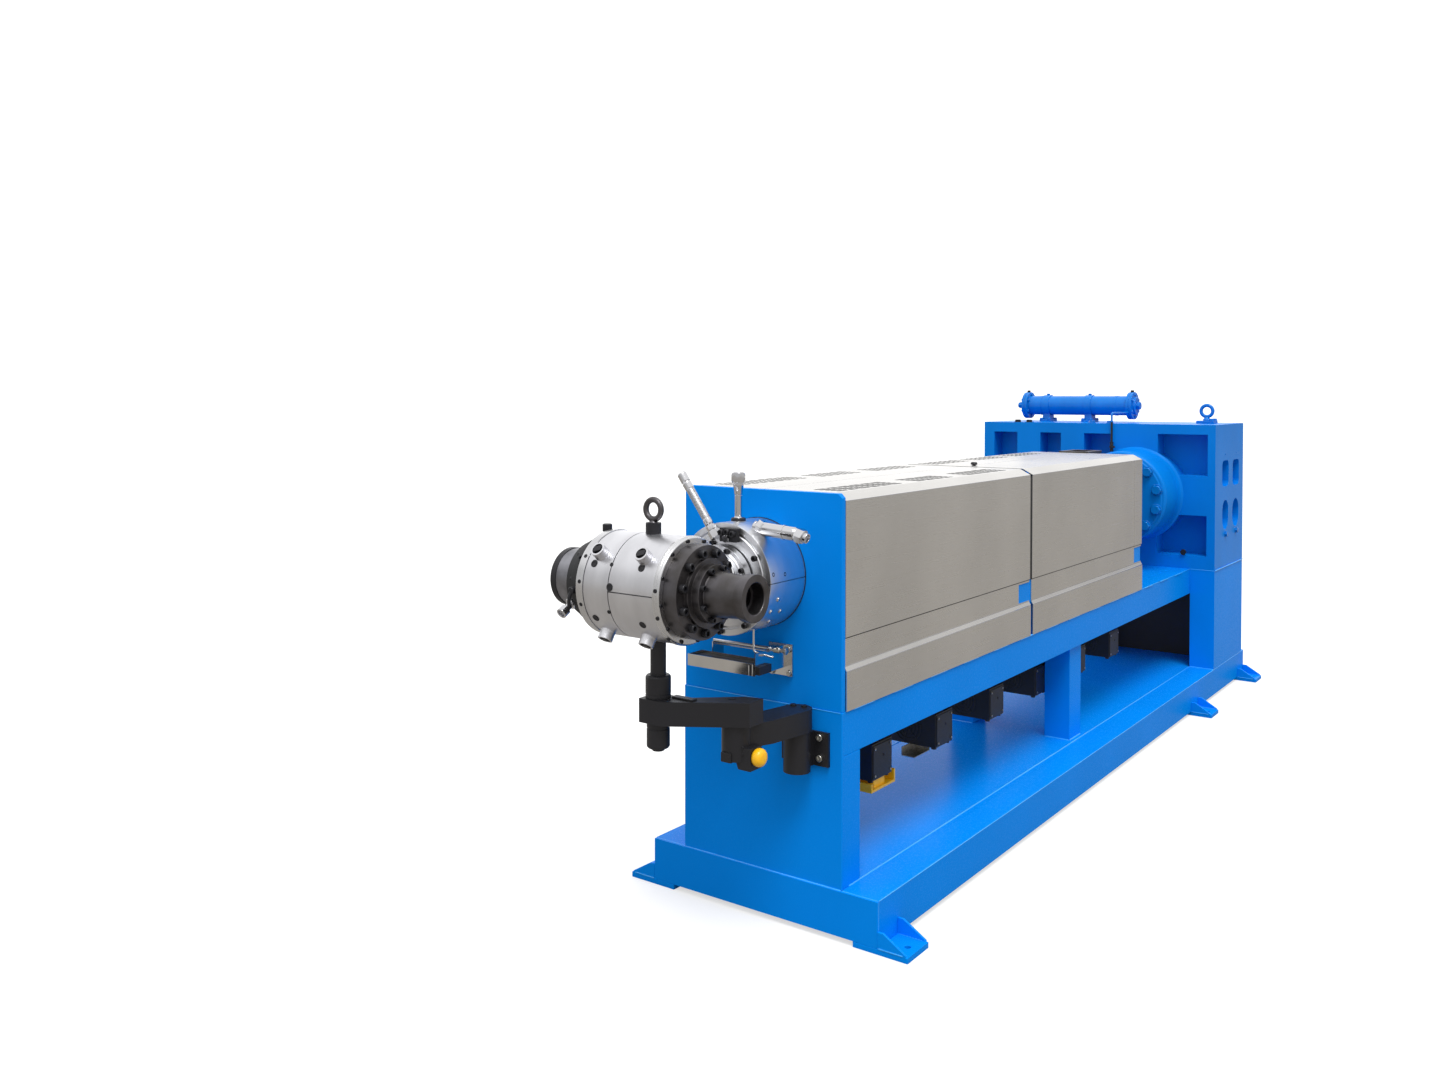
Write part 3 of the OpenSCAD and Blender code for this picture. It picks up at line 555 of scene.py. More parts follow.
def piece(name, body, maker, *shapes, slot=None, stands_for=None, angle=32.0):
    """One named piece of the dressed machine from its shapes."""
    points, faces = joined(*shapes)
    mesh = bpy.data.meshes.new(name)
    sizes = np.concatenate([np.full(len(f), f.shape[1]) for f in faces])
    corners = np.concatenate([f.ravel() for f in faces])
    mesh.vertices.add(len(points))
    mesh.vertices.foreach_set("co", (points * MM).astype(np.float32).ravel())
    mesh.loops.add(len(corners))
    mesh.loops.foreach_set("vertex_index", corners.astype(np.int32))
    mesh.polygons.add(len(sizes))
    mesh.polygons.foreach_set("loop_start", np.concatenate([[0], np.cumsum(sizes)[:-1]]).astype(np.int32))
    mesh.update(calc_edges=True)
    mesh.validate()
    shade(mesh, angle)
    made = linked(name, mesh)
    mesh.materials.append(finish(maker))
    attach(made, body)
    flat_faces(made)
    if stands_for:
        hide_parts(stands_for)
    return made


def dress(maker, edge, *nodes):
    """Gives CAD nodes their finish, and rounds their edges with a weld and a bevel."""
    for name in nodes:
        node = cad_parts[name]
        for held in node.material_slots:
            held.link = "OBJECT"
            held.material = finish(maker)
        shade(node.data, 28)
        node.modifiers.new("weld", "WELD").merge_threshold = WELD_GAP * MM
        round_off = node.modifiers.new("edge", "BEVEL")
        round_off.width = edge * MM
        round_off.segments = 2
        round_off.limit_method = "ANGLE"
        round_off.angle_limit = math.radians(BEVEL_FROM)
        flat_faces(node)


# Sizes and colours a user may change

COLOUR = {"subtype": "COLOR", "min": 0, "max": 1}


class ExtruderColours(bpy.types.PropertyGroup):
    blue_paint: FloatVectorProperty(name="Blue paint", description="Enamel on base, stand, end plate and gearbox",
                                    default=linear("0487EC")[:3], **COLOUR)
    stainless: FloatVectorProperty(name="Stainless", description="Brushed sheet of hoods, skirts and tray",
                                   default=linear("D4D2CF")[:3], **COLOUR)
    cast_aluminium: FloatVectorProperty(name="Heater shells", description="Satin aluminium around the head",
                                        default=linear("D6D6DA")[:3], **COLOUR)
    yellow_plastic: FloatVectorProperty(name="Yellow plastic", description="Arm knob and blower guard",
                                        default=linear("FFC010")[:3], **COLOUR)


class ExtruderSizes(bpy.types.PropertyGroup):
    paint_edge: FloatProperty(name="Painted edges", description="Radius of the edges of painted plates",
                              unit="LENGTH", default=0.002, min=0.0005, max=0.004)
    slot_length: FloatProperty(name="Vent slot length", description="Length of a slot in the hoods",
                               unit="LENGTH", default=0.056, min=0.02, max=0.07)
    slot_width: FloatProperty(name="Vent slot width", description="Width of a slot in the hoods",
                              unit="LENGTH", default=0.013, min=0.004, max=0.015)
    slot_rows: IntProperty(name="Vent rows", description="Rows of slots side by side in a grille",
                           default=5, min=2, max=6)
    flange_screws: IntProperty(name="Die flange screws", description="Cap screws around the die flange",
                               default=11, min=6, max=14)
    ring_screws: IntProperty(name="Head ring screws", description="Small screws around each end ring of the head",
                             default=12, min=6, max=16)


class StudioStage(bpy.types.Operator):
    """Floor, soft lights and the camera at the photograph's place"""

    bl_idname = "extruder.stage"
    bl_label = "Studio stage"

    def execute(self, context):
        scene = context.scene
        scene.view_settings.view_transform = "Standard"
        self.floor()
        self.room(scene)
        strength, spread, lit_from = 1.9, 24, Vector((2.2, -2.2, 6.5))
        lamp = bpy.data.lights.new("key", "SUN")
        lamp.energy, lamp.angle = strength, math.radians(spread)
        linked("key", lamp).rotation_euler = lit_from.to_track_quat("Z", "Y").to_euler()
        camera = bpy.data.cameras.new("camera")
        camera.lens, camera.sensor_width, camera.shift_y = 29.613, 36.0, -0.0857
        tilt_down, turn = 1.2108, 36.7152
        scene.camera = linked("camera", camera)
        scene.camera.location = (1.9605, -2.8023, 1.512)
        scene.camera.rotation_euler = (math.radians(90 - tilt_down), 0, math.radians(turn))
        return {"FINISHED"}

    def floor(self):
        """Pale floor that looks white to the camera and gives the machine a softer, greyer light."""
        reach, glow_seen = 40, 0.62
        mesh = bpy.data.meshes.new("studio_floor")
        corners = [(-reach, -reach, 0), (reach, -reach, 0), (reach, reach, 0), (-reach, reach, 0)]
        mesh.from_pydata(corners, [], [(0, 1, 2, 3)])
        mesh.materials.append(surface("pale_floor", (linear("A9A9A8"), linear("ACACAB")), patch=900, grain=6,
                                      rough=(0.6, 0.8), relief=0.02, IOR=1.45))
        tree = mesh.materials[0].node_tree
        shader = tree.nodes["Principled BSDF"]
        pale = shader.inputs["Base Color"].links[0].from_socket
        seen = add(tree, "ShaderNodeLightPath").outputs["Is Camera Ray"]
        grey = {"data_type": "RGBA", 6: linear("8C8882")}
        dimmed = add(tree, "ShaderNodeMix", grey, {0: seen, 7: pale})
        tree.links.new(dimmed.outputs[2], shader.inputs["Base Color"])
        glow = add(tree, "ShaderNodeMath", {"operation": "MULTIPLY", 1: glow_seen}, {0: seen})
        shader.inputs["Emission Color"].default_value = (1.0, 1.0, 1.0, 1.0)
        tree.links.new(glow.outputs[0], shader.inputs["Emission Strength"])
        linked("studio_floor", mesh)

    def room(self, scene):
        """Light by direction, each part a cosine towards a direction that is mapped to a strength.

        It is bright behind the machine on its far side and overhead, and dim in front of it, as the metals
        mirror it. A dark screen behind the gearbox shows in the end of the rear hood. Straight to the
        camera the room is plain white.
        """
        far_side = ((-1.0, 1.0, 0.0), (0.2, 1.3, 0.65, 1.4))
        overhead = ((0.0, 0.0, 1.0), (0.08, 0.55, 0.0, 1.15))
        screen = ((0.225, 0.974, 0.0), (0.955, 0.99, 1.0, 0.25))
        plain_white = 1.3
        world = scene.world or bpy.data.worlds.new("studio")
        scene.world = world
        world.use_nodes = True
        tree = world.node_tree
        place = add(tree, "ShaderNodeTexCoord").outputs["Generated"]
        parts = []
        for direction, limits in (far_side, overhead, screen):
            towards = {"operation": "DOT_PRODUCT", 1: direction}
            cosine = add(tree, "ShaderNodeVectorMath", towards, {0: place}).outputs["Value"]
            parts.append(add(tree, "ShaderNodeMapRange", enumerate(limits, 1), {0: cosine}).outputs[0])
        seen = add(tree, "ShaderNodeLightPath").outputs["Is Camera Ray"]
        parts.append(add(tree, "ShaderNodeMath", {"operation": "MULTIPLY", 1: plain_white}, {0: seen}).outputs[0])
        level = parts[0]
        for operation, part in zip(("MAXIMUM", "MULTIPLY", "MAXIMUM"), parts[1:]):
            level = add(tree, "ShaderNodeMath", {"operation": operation}, {0: level, 1: part}).outputs[0]
        tree.links.new(level, tree.nodes["Background"].inputs["Strength"])
        tree.nodes["Background"].inputs["Color"].default_value = (1.0, 1.0, 1.0, 1.0)


def weld_bead(start, end, radius):
    """Bead with a ripple every 9 mm: radius (1 + 0.12 sin(2 pi s / 9)), its ends drawn down to a point."""
    a, b = np.asarray(start, float), np.asarray(end, float)
    length = np.linalg.norm(b - a)
    s = np.linspace(0, length, max(int(length / 4), 6))
    r = radius * (1 + 0.12 * np.sin(2 * np.pi * s / 9)) * np.clip(np.minimum(s, length - s) / 4 + 0.3, 0, 1)
    return tube(a + (b - a) * (s / length)[:, None], r, 8)


def edge_line(start, end, radius):
    """Straight bright line along an edge: a painted highlight."""
    return tube([start, end], radius, 8)


class PaintedFrame(bpy.types.Operator):
    """Base, stand, pedestal and end plate in blue enamel, with their weld beads, painted highlight lines along their
    edges and black sheets of painted shade in the pedestal bay
    """

    bl_idname = "extruder.painted_frame"
    bl_label = "Painted frame"

    def execute(self, context):
        dress(blue_enamel, counts().paint_edge / MM, "base_beams", "base_cross_members", "floor_plate",
              "anchor_feet", "front_panel", "posts", "rails", "bed_plate", "pedestal_sides", "pedestal_back",
              "gearbox_shelf", "end_plate")
        (_, y0, _), (out, y1, _) = span("base_beams")
        side, top, rail_z = RAIL_HIGH[0], RAIL_HIGH[2], RAIL_LOW[2]
        base, foot_z = span("floor_plate")[1][2], 17
        gear, rear = GEAR_LOW[1], GEAR_HIGH[1]
        posts, middle_posts = (12, 100), (1766, 1889)
        feet = (-7, 108, 2977, 3091, 3835, 3950)
        beads = [((side, y0 + 40, base), (side, gear - 4, base), 2.6),
                 ((GEAR_HIGH[0] + 2, gear + 2, top), (GEAR_HIGH[0] + 2, rear - 2, top), 3),
                 ((side - 18, 1768, base), (side - 18, 1887, base), 3),
                 ((side, gear, base), (side + 116, gear, base), 3)]
        beads += [((side + 1, y, top - 1), (side + 1, y + 120, top - 1), 3.2)
                  for y in np.linspace(60, gear - 260, 14)]
        for ys, x0, x1, z, radius in ((posts, -58, -2, base, 3), (middle_posts, -118, -20, base, 3),
                                      (middle_posts, -78, -20, rail_z, 2.6), (feet, 118, 196, foot_z, 2.6)):
            beads += [((side + x0, y, z), (side + x1, y, z), radius) for y in ys]
        # Painted highlight lines along the edges of the rail, of the pedestal, of the base and, across the machine, of
        # base and front panel
        low_edge, top_edge, out_edge = base - EDGE_IN, top - EDGE_IN, out - EDGE_IN
        pedestal = span("pedestal_sides")[1][0]
        edges = [((side - EDGE_IN, 60, top_edge), (side - EDGE_IN, gear - 4, top_edge), 1.8),
                 ((pedestal - EDGE_IN, gear + 3, top_edge), (pedestal - EDGE_IN, rear - 3, top_edge), 2),
                 ((side, gear + EDGE_IN, top_edge), (pedestal - 3, gear + EDGE_IN, top_edge), 2),
                 ((out_edge, y0 + 3, low_edge), (out_edge, y1 - 3, low_edge), 1.7),
                 ((out_edge, y0 + EDGE_IN, 6), (out_edge, y0 + EDGE_IN, base - 3), 1.5)]
        panel = span("front_panel")[0][1] + 0.6
        across = [weld_bead((-side, -2, base), (side, -2, base), 2.6),
                  edge_line((3 - out, y0 + EDGE_IN, low_edge), (out - 3, y0 + EDGE_IN, low_edge), 1.7),
                  edge_line((3 - side, panel, top - 1), (side - 3, panel, top - 1), 1.6)]
        along = both_sides(*(weld_bead(*ends) for ends in beads), *(edge_line(*ends) for ends in edges))
        # Weld beads and edge lines in the paler enamel: painted highlight
        piece("weld_beads_and_highlights", "machine", bead_enamel, along, *across, angle=60)
        back = span("pedestal_back")[0][1]
        low, high = base + 1, top - 22
        # Black sheets at the back and the sides of the pedestal bay: painted shade
        back_shade = brick((2 - side, back - 4, low), (side - 2, back - 1, high), 0.5)
        side_shade = brick((side - 4, gear + 6, low), (side - 1, back - 3, high), 0.5)
        piece("bay_shade_sheets", "machine", powder_black, back_shade, both_sides(side_shade))
        return {"FINISHED"}


def vent_cells(x0, x1, y0, y1, rows, columns, width, length, z):
    """Sheet of rows by columns cells, each a ring of faces between its rim and a slot with round ends.

    The slot's point at angle t is ((w / 2) cos t, s (l - w) / 2 + (w / 2) sin t), s the sign of sin t, and
    the rim's point is the cell's half size times (cos t, sin t) over the larger of the two.
    """
    n = 16
    t = np.arange(n) * 2 * np.pi / n
    t = np.where(np.abs(np.sin(t)) < 1e-6, t + 1e-3, t)
    c, s = np.cos(t), np.sin(t)
    cell = np.array([(x1 - x0) / rows, (y1 - y0) / columns])
    rim = np.stack([c, s], -1) / np.maximum(np.abs(c), np.abs(s))[:, None] * cell / 2
    slot = np.stack([width / 2 * c, np.sign(s) * (length - width) / 2 + width / 2 * s], -1)
    middles = x0 + (np.arange(rows) + 0.5) * cell[0], y0 + (np.arange(columns) + 0.5) * cell[1]
    points = np.concatenate([rim, slot])[None] + np.stack(np.meshgrid(*middles), -1).reshape(-1, 1, 2)
    points = np.concatenate([points, np.full((*points.shape[:2], 1), z)], -1)
    starts = np.arange(len(points))[:, None, None] * 2 * n
    return points.reshape(-1, 3), [(quads(2, n, False, True)[None] + starts).reshape(-1, 4)]


def strip(line, y0, y1):
    """Sheet that carries a line in X and Z from y0 to y1."""
    x, z = np.array(line, float).T
    ends = [np.stack([x, np.full(len(x), y), z], -1) for y in (y0, y1)]
    return np.concatenate(ends), [quads(2, len(x))]


def hood_half(y0, y1, grilles, width, length, pitch):
    """Right half of a hood as one open sheet: side, chamfer and top, with grilles cut into the top."""
    side, top, low = HOOD_HIGH[0], HOOD_HIGH[2], HOOD_LOW[2]
    w, h = CHAMFER
    inner, outer = grille_band()
    line = [[side, low], [side, top - h - 1.5], [side - 0.8, top - h + 0.2], [side - w + 0.8, top - 0.4],
            [side - w - 1, top], [outer, top]]
    parts = [strip(line, y0, y1), strip([[inner, top], [0.6, top]], y0, y1)]
    rows, cuts = counts().slot_rows, [y0]
    for a, b in grilles:
        n = max(int((b - a) / pitch), 1)
        parts.append(vent_cells(inner, outer, a, a + n * pitch, rows, n, width, length, top))
        cuts += [a, a + n * pitch]
    cuts.append(y1)
    parts += [strip([[outer, top], [inner, top]], a, b) for a, b in zip(cuts[::2], cuts[1::2])]
    return joined(*parts)


def grille_band():
    """Where the grilles begin and end across the right half of a hood's top."""
    edge = HOOD_HIGH[0] - CHAMFER[0]
    return edge - 104, edge - 10


def thicken(made, mm):
    """Gives a sheet its thickness inwards, after its strips are merged and turned one way."""
    work = bmesh.new()
    work.from_mesh(made.data)
    bmesh.ops.remove_doubles(work, verts=work.verts, dist=WELD_GAP * MM)
    bmesh.ops.recalc_face_normals(work, faces=work.faces)
    up = [f for f in work.faces if abs(f.normal.z) > 0.9]
    if up and up[0].normal.z < 0:
        bmesh.ops.reverse_faces(work, faces=work.faces)
    for f in work.faces:
        if (f.normal.z < -0.5) or (abs(f.normal.x) > 0.5 and f.normal.x * f.calc_center_median().x < 0):
            f.normal_flip()
    work.to_mesh(made.data)
    work.free()
    shade(made.data, 12)
    # The rim of the wall, round every slot and along the sheet's edges, is black: painted shade
    made.data.materials.append(finish(powder_black))
    wall = made.modifiers.new("wall", "SOLIDIFY")
    wall.thickness, wall.offset, wall.material_offset_rim = mm * MM, -1.0, 1
    made.modifiers.move(len(made.modifiers) - 1, 0)


class SlottedHoods(bpy.types.Operator):
    """Stainless hoods with their vent slots and knob, painted highlight lines along their folds, black strips of
    painted shadow under and between them, the skirts with painted highlight lines along their ledge, and the closing
    plate
    """

    bl_idname = "extruder.slotted_hoods"
    bl_label = "Hoods and skirts"

    def execute(self, context):
        self.sheets()
        self.trim()
        dress(brushed_stainless, 0.8, "hood_closing_plate")
        self.skirts()
        return {"FINISHED"}

    def sheets(self):
        width, length = counts().slot_width / MM, counts().slot_length / MM
        pitch = length + 8
        # The far half has shorter slots, set closer
        far_length, far_pitch = length * 0.6, pitch * 0.7
        inner, outer = grille_band()
        low_z = HOOD_HIGH[2] - 9
        front = [(66, 470), (545, 845), (910, 1235)]
        rear = [(y, y + 330) for y in (1380, 1760, 2140)]
        shade_sheets = []
        for name, far, near in (("hoods_front", front, front), ("hoods_rear", rear, [])):
            low, high = span(name)
            y0, y1 = low[1] + 0.3, high[1]
            made = piece(name + "_sheet", "machine", brushed_stainless, hood_half(y0, y1, near, width, length, pitch),
                         mirrored(hood_half(y0, y1, far, width, far_length, far_pitch)), stands_for=name)
            thicken(made, 1.5)
            for a, b in far:
                # Black sheets just below the grilles, so the slots read dark: painted shade
                box = brick((inner - 4, a - 4, low_z), (outer + 4, b + 4, low_z + 2), 0.5)
                shade_sheets += [mirrored(box), box] if near else [mirrored(box)]
        piece("vent_shade_sheets", "machine", powder_black, *shade_sheets)

    def trim(self):
        side, top, low, end = HOOD_HIGH[0], HOOD_HIGH[2], HOOD_LOW[2], REAR_HIGH[1]
        shoulder = top - CHAMFER[1]
        lap = brick((side - 0.4, end - 104, low + 1), (side + 1.0, end - 0.5, shoulder - 4), 0.4)
        piece("hood_end_laps", "machine", brushed_stainless, both_sides(lap))
        knob = [[-1, 7], [3, 7], [3, 12], [9, 13], [13, 10], [13.5, TIP]]
        piece("hood_knob", "machine", powder_black, lathed(knob, 1.6, 32, (10, 1410, top)))
        runs = ((HOOD_LOW[1] + 1, HOOD_HIGH[1]), (REAR_LOW[1], end - 1))
        # Polished lines along the folds of the hoods: painted highlight
        fold_highlights = [edge_line((side - 0.7, y0, shoulder - 1), (side - 0.7, y1, shoulder - 1), 1.3) for y0, y1 in runs]
        fold_highlights += [edge_line((side - 0.5, y, low + 2), (side - 0.5, y, shoulder - 3), 1.3)
                  for y in (HOOD_LOW[1] + 1.5, REAR_LOW[1] + 1, end - 105, end - 1)]
        piece("hood_fold_highlights", "machine", polished_steel, both_sides(*fold_highlights), slot="stainless")
        # Black strips under the lower edges of the hoods and in the gap between them: painted shadow
        shadow_strips = [brick((side - 6.5, y0, low - 3.5), (side - 1.4, y1, low + 3), 0.5) for y0, y1 in runs]
        shadow_strips.append(brick((side - 6, HOOD_HIGH[1] - 2, low), (side - 1.5, REAR_LOW[1] + 2, shoulder - 6), 0.5))
        piece("hood_shadow_strips", "machine", powder_black, both_sides(*shadow_strips))

    def skirts(self):
        (_, _, base), (out, _, _) = span("skirts")
        wall, notch = 3.0, 95
        outside, inside, lower_in = out - 4 - wall, out - 4 - 2 * wall, out - wall
        ledge, lip = LINE_Z - 243, HOOD_LOW[2] + 20
        cut = ledge + 5
        # Below the notch the sheet ends at cut, above it the sheet goes on from upper, elsewhere it is whole
        lower, whole = ([[out, base], [out, ledge - 12], [outside, ledge], [outside, z], [inside, z],
                         [inside, ledge - 1], [lower_in, ledge - 13], [lower_in, base]] for z in (cut, lip))
        upper = [[outside, cut + 67], [outside, lip], [inside, lip], [inside, cut + 67]]
        sheets, plates, fold_highlights = [], [], []
        for y0, y1, past in ((HOOD_LOW[1], HOOD_HIGH[1], 90), (REAR_LOW[1], REAR_HIGH[1], 0)):
            for line, a, b in ((whole, y0, y1 - notch), (lower, y1 - notch, y1), (upper, y1 - notch, y1)):
                sheets.append(placed(prism([[-x, z] for x, z in line], a, b), (0, 0, 0), (0, 1, 0)))
            plates.append(brick((inside - 14, y1 - 105, base), (inside, y1 + past, HOOD_LOW[2] - 3), 1.5))
            # Polished lines along the edges of the skirts' ledge: painted highlight
            fold_highlights += [edge_line((x, y0 + 1, z), (x, y1 - 1, z), radius)
                      for x, z, radius in ((out - EDGE_IN, ledge - 12, 1.6), (outside - 0.6, ledge + 1, 1.3))]
        piece("skirt_fold_highlights", "machine", polished_steel, both_sides(*fold_highlights), slot="stainless")
        piece("skirt_sheets", "machine", brushed_stainless, both_sides(*sheets), stands_for="skirts", angle=12)
        piece("skirt_plates", "machine", blue_enamel, both_sides(*plates))


class Blowers(bpy.types.Operator):
    """Blower boxes below the rails with side covers, feet, the bent bracket and the yellow guard"""

    bl_idname = "extruder.blowers"
    bl_label = "Blowers"

    def execute(self, context):
        dress(powder_black, 1.5, "blowers")
        dress(yellow_abs, 1.5, "blower_guard")
        low, high = span("blowers")
        side, base = high[0], low[2]
        first, pitch = 449, 430
        ys = [first + pitch * i for i in range(6)]
        covers, screws, ports, feet = [], [], [], []
        for y in ys:
            covers += [brick((side - 1, y - 58, base + 5), (side + 3, y + 58, base + 108), 1.5, 4),
                       brick((side - 10, y - 54, base + 116), (side - 4, y - 16, base + 190), 1.2, 2)]
            screws += [(side + 3, y + a, base + 56 + b) for a in (-48, 48) for b in (-42, 42)]
            ports.append((side + 3, y + 6, base + 70))
            feet += [(x, y + a, base) for x in (-46, 136) for a in (-48, 48)]
        bars = [placed(turned([[-52, 1.5], [52, 1.5]], 8), (0, 0, 0), (math.cos(a), math.sin(a), 0))
                for a in np.radians([15, 75, 135])]
        inlet = joined(*(torus(r, 1.6, 40, 8) for r in (14, 26, 38, 50)), *bars)
        piece("blower_covers", "machine", powder_black, *covers,
              lathed([[-7, 9], [-2, 9], [0.5, 7]], 1, 20, feet),
              placed(inlet, [(45, y - 63.5, base + 57) for y in ys], (0, -1, 0)))
        piece("blower_screws", "machine", zinc_plate, placed(socket_screw(5, 2.5), screws, (1, 0, 0)))
        piece("blower_ports", "machine", black_oxide, placed(set_screw(9), ports, (1, 0, 0)), slot="black_sheet")
        y, z = ys[1], base - 28
        piece("blower_bracket", "machine", zinc_plate, brick((50, y - 118, z), (100, y - 4, z + 3), 0.8),
              brick((50, y - 10, z), (100, y - 6, z + 34), 0.8), brick((50, y - 118, z), (53, y - 4, z + 30), 0.8),
              slot="stainless")
        return {"FINISHED"}


class GearboxAndCooler(bpy.types.Operator):
    """Cast gearbox with its bolts and eye, the round bearing housing and the oil cooler on top"""

    bl_idname = "extruder.gearbox"
    bl_label = "Gearbox and oil cooler"

    def execute(self, context):
        dress(painted_casting, 4, "gearbox_housing")
        (x0, y0, _), (x1, y1, _) = span("bearing_housing")
        r, length = (x1 - x0) / 2, y1 - y0
        rows = [[0, 58], [0, r - 22], [5, r - 18], [5, r - 9], [14, r], [length * 0.5, r],
                [length * 0.5 + 3, r - 3], [length - 34, r - 3], [length - 12, r + 4], [length + 1, r + 16],
                [length + 1, 58]]
        drum = turned([(y0 + t, q) for t, q in eased(rows, 4, True)], 96, loop=True)
        piece("bearing_drum", "machine", painted_casting, along_line(drum), stands_for="bearing_housing", angle=40)
        circle, _ = around_line(np.arange(12) * 30 + 13, r - 38, y0 + 2)
        piece("bearing_bolts", "machine", gloss_enamel, placed(hex_screw(26), circle, (0, -1, 0)))
        side, rear, top = GEAR_HIGH
        front = GEAR_LOW[1]
        ex, ey, _ = middle("gearbox_eyebolt")
        pad = top + 15
        piece("gearbox_eye", "machine", gloss_enamel, brick((ex - 45, ey - 40, top - 1), (ex + 45, ey + 40, pad), 3, 6),
              placed(lifting_eye(38, 9, 12, 19), (ex, ey, pad)),
              placed(hex_screw(14), [(ex + 31, ey + a, pad) for a in (-26, 26)]), stands_for="gearbox_eyebolt")
        cover = rear + 8
        on_cover = [(x, cover, z) for x in (-750, -420, -60, 300) for z in (770, 1270)]
        on_cover += [(x, cover, 1020) for x in (-750, 300)]
        piece("gearbox_bolts", "machine", gloss_enamel,
              placed(hex_screw(18), [(-240, front + 30, top), (-144, front + 30, top)]),
              placed(hex_screw(16), [(side, front + 195, LINE_Z - 200), (side, front + 400, LINE_Z - 198)], (1, 0, 0)),
              placed(set_screw(9), [(side, front + y, LINE_Z + 205) for y in (190, 400)], (1, 0, 0)),
              placed(hex_screw(22), [(x, front + 40, RAIL_HIGH[2] + 22) for x in (-600, -200, 150, 320)], (0, -1, 0)),
              placed(hex_screw(18), on_cover, (0, 1, 0)))
        piece("gearbox_rear_cover", "machine", painted_casting, brick((-780, rear - 2, 740), (330, cover, 1300), 4, 40))
        piece("gearbox_drain_plug", "machine", black_oxide,
              placed(hex_body(12, 26), (side - 150, front - 9, 716), (0, 1, 0)),
              placed(hex_screw(18), [(-650, front + 26, top), (-585, front + 26, top)]))
        dress(barrel_steel, 1, "input_shaft")
        self.cooler()
        return {"FINISHED"}

    def cooler(self):
        low, high = span("cooler_shell")
        _, y, z = middle("cooler_shell")
        # Outer faces of the two flanges, radius of the flanges and of the tube
        x0, x1, rf, rt = low[0] + 45, high[0] - 30, half_height("cooler_shell"), 53
        flange = [[-12, 19], [-12, rt - 8], [-9, rt - 5], [0, rt - 5], [0, rf], [13, rf], [13, rf - 3],
                  [17, rf - 3], [17, rf], [30, rf], [30, rt], [90, rt], [90, rt + 1.5], [104, rt + 1.5], [104, rt]]
        rows = [[x0 - 45, TIP], [x0 - 45, 13], [x0 - 42, 15], [x0 - 20, 15]] + [[x0 + t, q] for t, q in flange]
        rows += [[x1 - t, q] for t, q in flange[::-1]] + [[x1 + 30, 19], [x1 + 30, TIP]]
        piece("cooler_tube", "machine", gloss_enamel, lathed(rows, 1.6, 64, (0, y, z), (1, 0, 0)),
              along_x(hex_body(24, 34), (x0 - 38, y, z)), along_x(hex_body(14, 40), (x1 + 14, y, z)),
              stands_for="cooler_shell", angle=36)
        a = np.radians(np.arange(6) * 60 + 90)
        circle = np.stack([np.zeros(6), y + 60.5 * np.cos(a), z + 60.5 * np.sin(a)], -1)
        faces = ((x0, -1), (x0 + 30, 1), (x1 - 30, -1), (x1, 1))
        piece("cooler_bolts", "machine", gloss_enamel,
              *(placed(hex_screw(9, False), circle + [x, 0, 0], (way, 0, 0)) for x, way in faces))
        piece("cooler_vents", "machine", black_oxide,
              placed(hex_body(12, 17), [(x, y, z + rf - 2) for x in (x0 + 15, x1 - 15)]))
        top, saddles = GEAR_HIGH[2], (-590, -352)
        straps, bolts = [], []
        for x in saddles:
            leg = [[-36, top], [36, top], [32, z - 34], [44, z - 8], [-44, z - 8], [-32, z - 34]]
            straps += [brick((x - 31, y - 55, top - 1), (x + 31, y + 55, top + 12), 2, 4),
                       along_x(prism(rounded([[b, c - z] for b, c in leg], 6), -20, 20, 2), (x, y, z)),
                       along_x(hoop([[-20, 52.5], [-20, 58], [20, 58], [20, 52.5]], 1.2, 64), (x, y, z))]
            bolts += [(x + a, y + b, top + 12) for a in (-22, 22) for b in (-46, 46)]
        piece("cooler_straps", "machine", gloss_enamel, *straps, placed(hex_screw(11), bolts),
              placed(hex_body(9, 17), [(x, y, z + 57) for x in saddles]), stands_for="cooler_saddles", angle=36)
        low, high = span("cooler_pipe")
        px, py, pz = low[0] + 10, low[1] + 11, high[2] - 5
        joint = low[2] + 0.72 * (pz - low[2])
        line = bend([(px, py, joint), (px, py, pz), (px, high[1], pz)], 14)
        piece("cooler_line", "machine", gloss_enamel, tube(line, 5, 14))
        body = [[-15, 7], [-12, 9], [-5, 9], [-3, 7], [3, 7], [5, 9], [12, 9], [15, 7]]
        valve = joined(lathed(body, 1, 24), placed(hex_body(10, 17), [(0, 0, 15), (0, 0, -24)]),
                       placed(hex_body(14, 12), (0, -4, 0), (0, -1, 0)), brick((-3, -24, -5), (24, -19, 5), 1.5))
        piece("cooler_valve", "machine", powder_black, placed(valve, (px, py, low[2] + 15)),
              tube([(px, py, low[2] + 28), (px, py, joint + 6)], 5.4, 14), slot="dark_steel", stands_for="cooler_pipe")


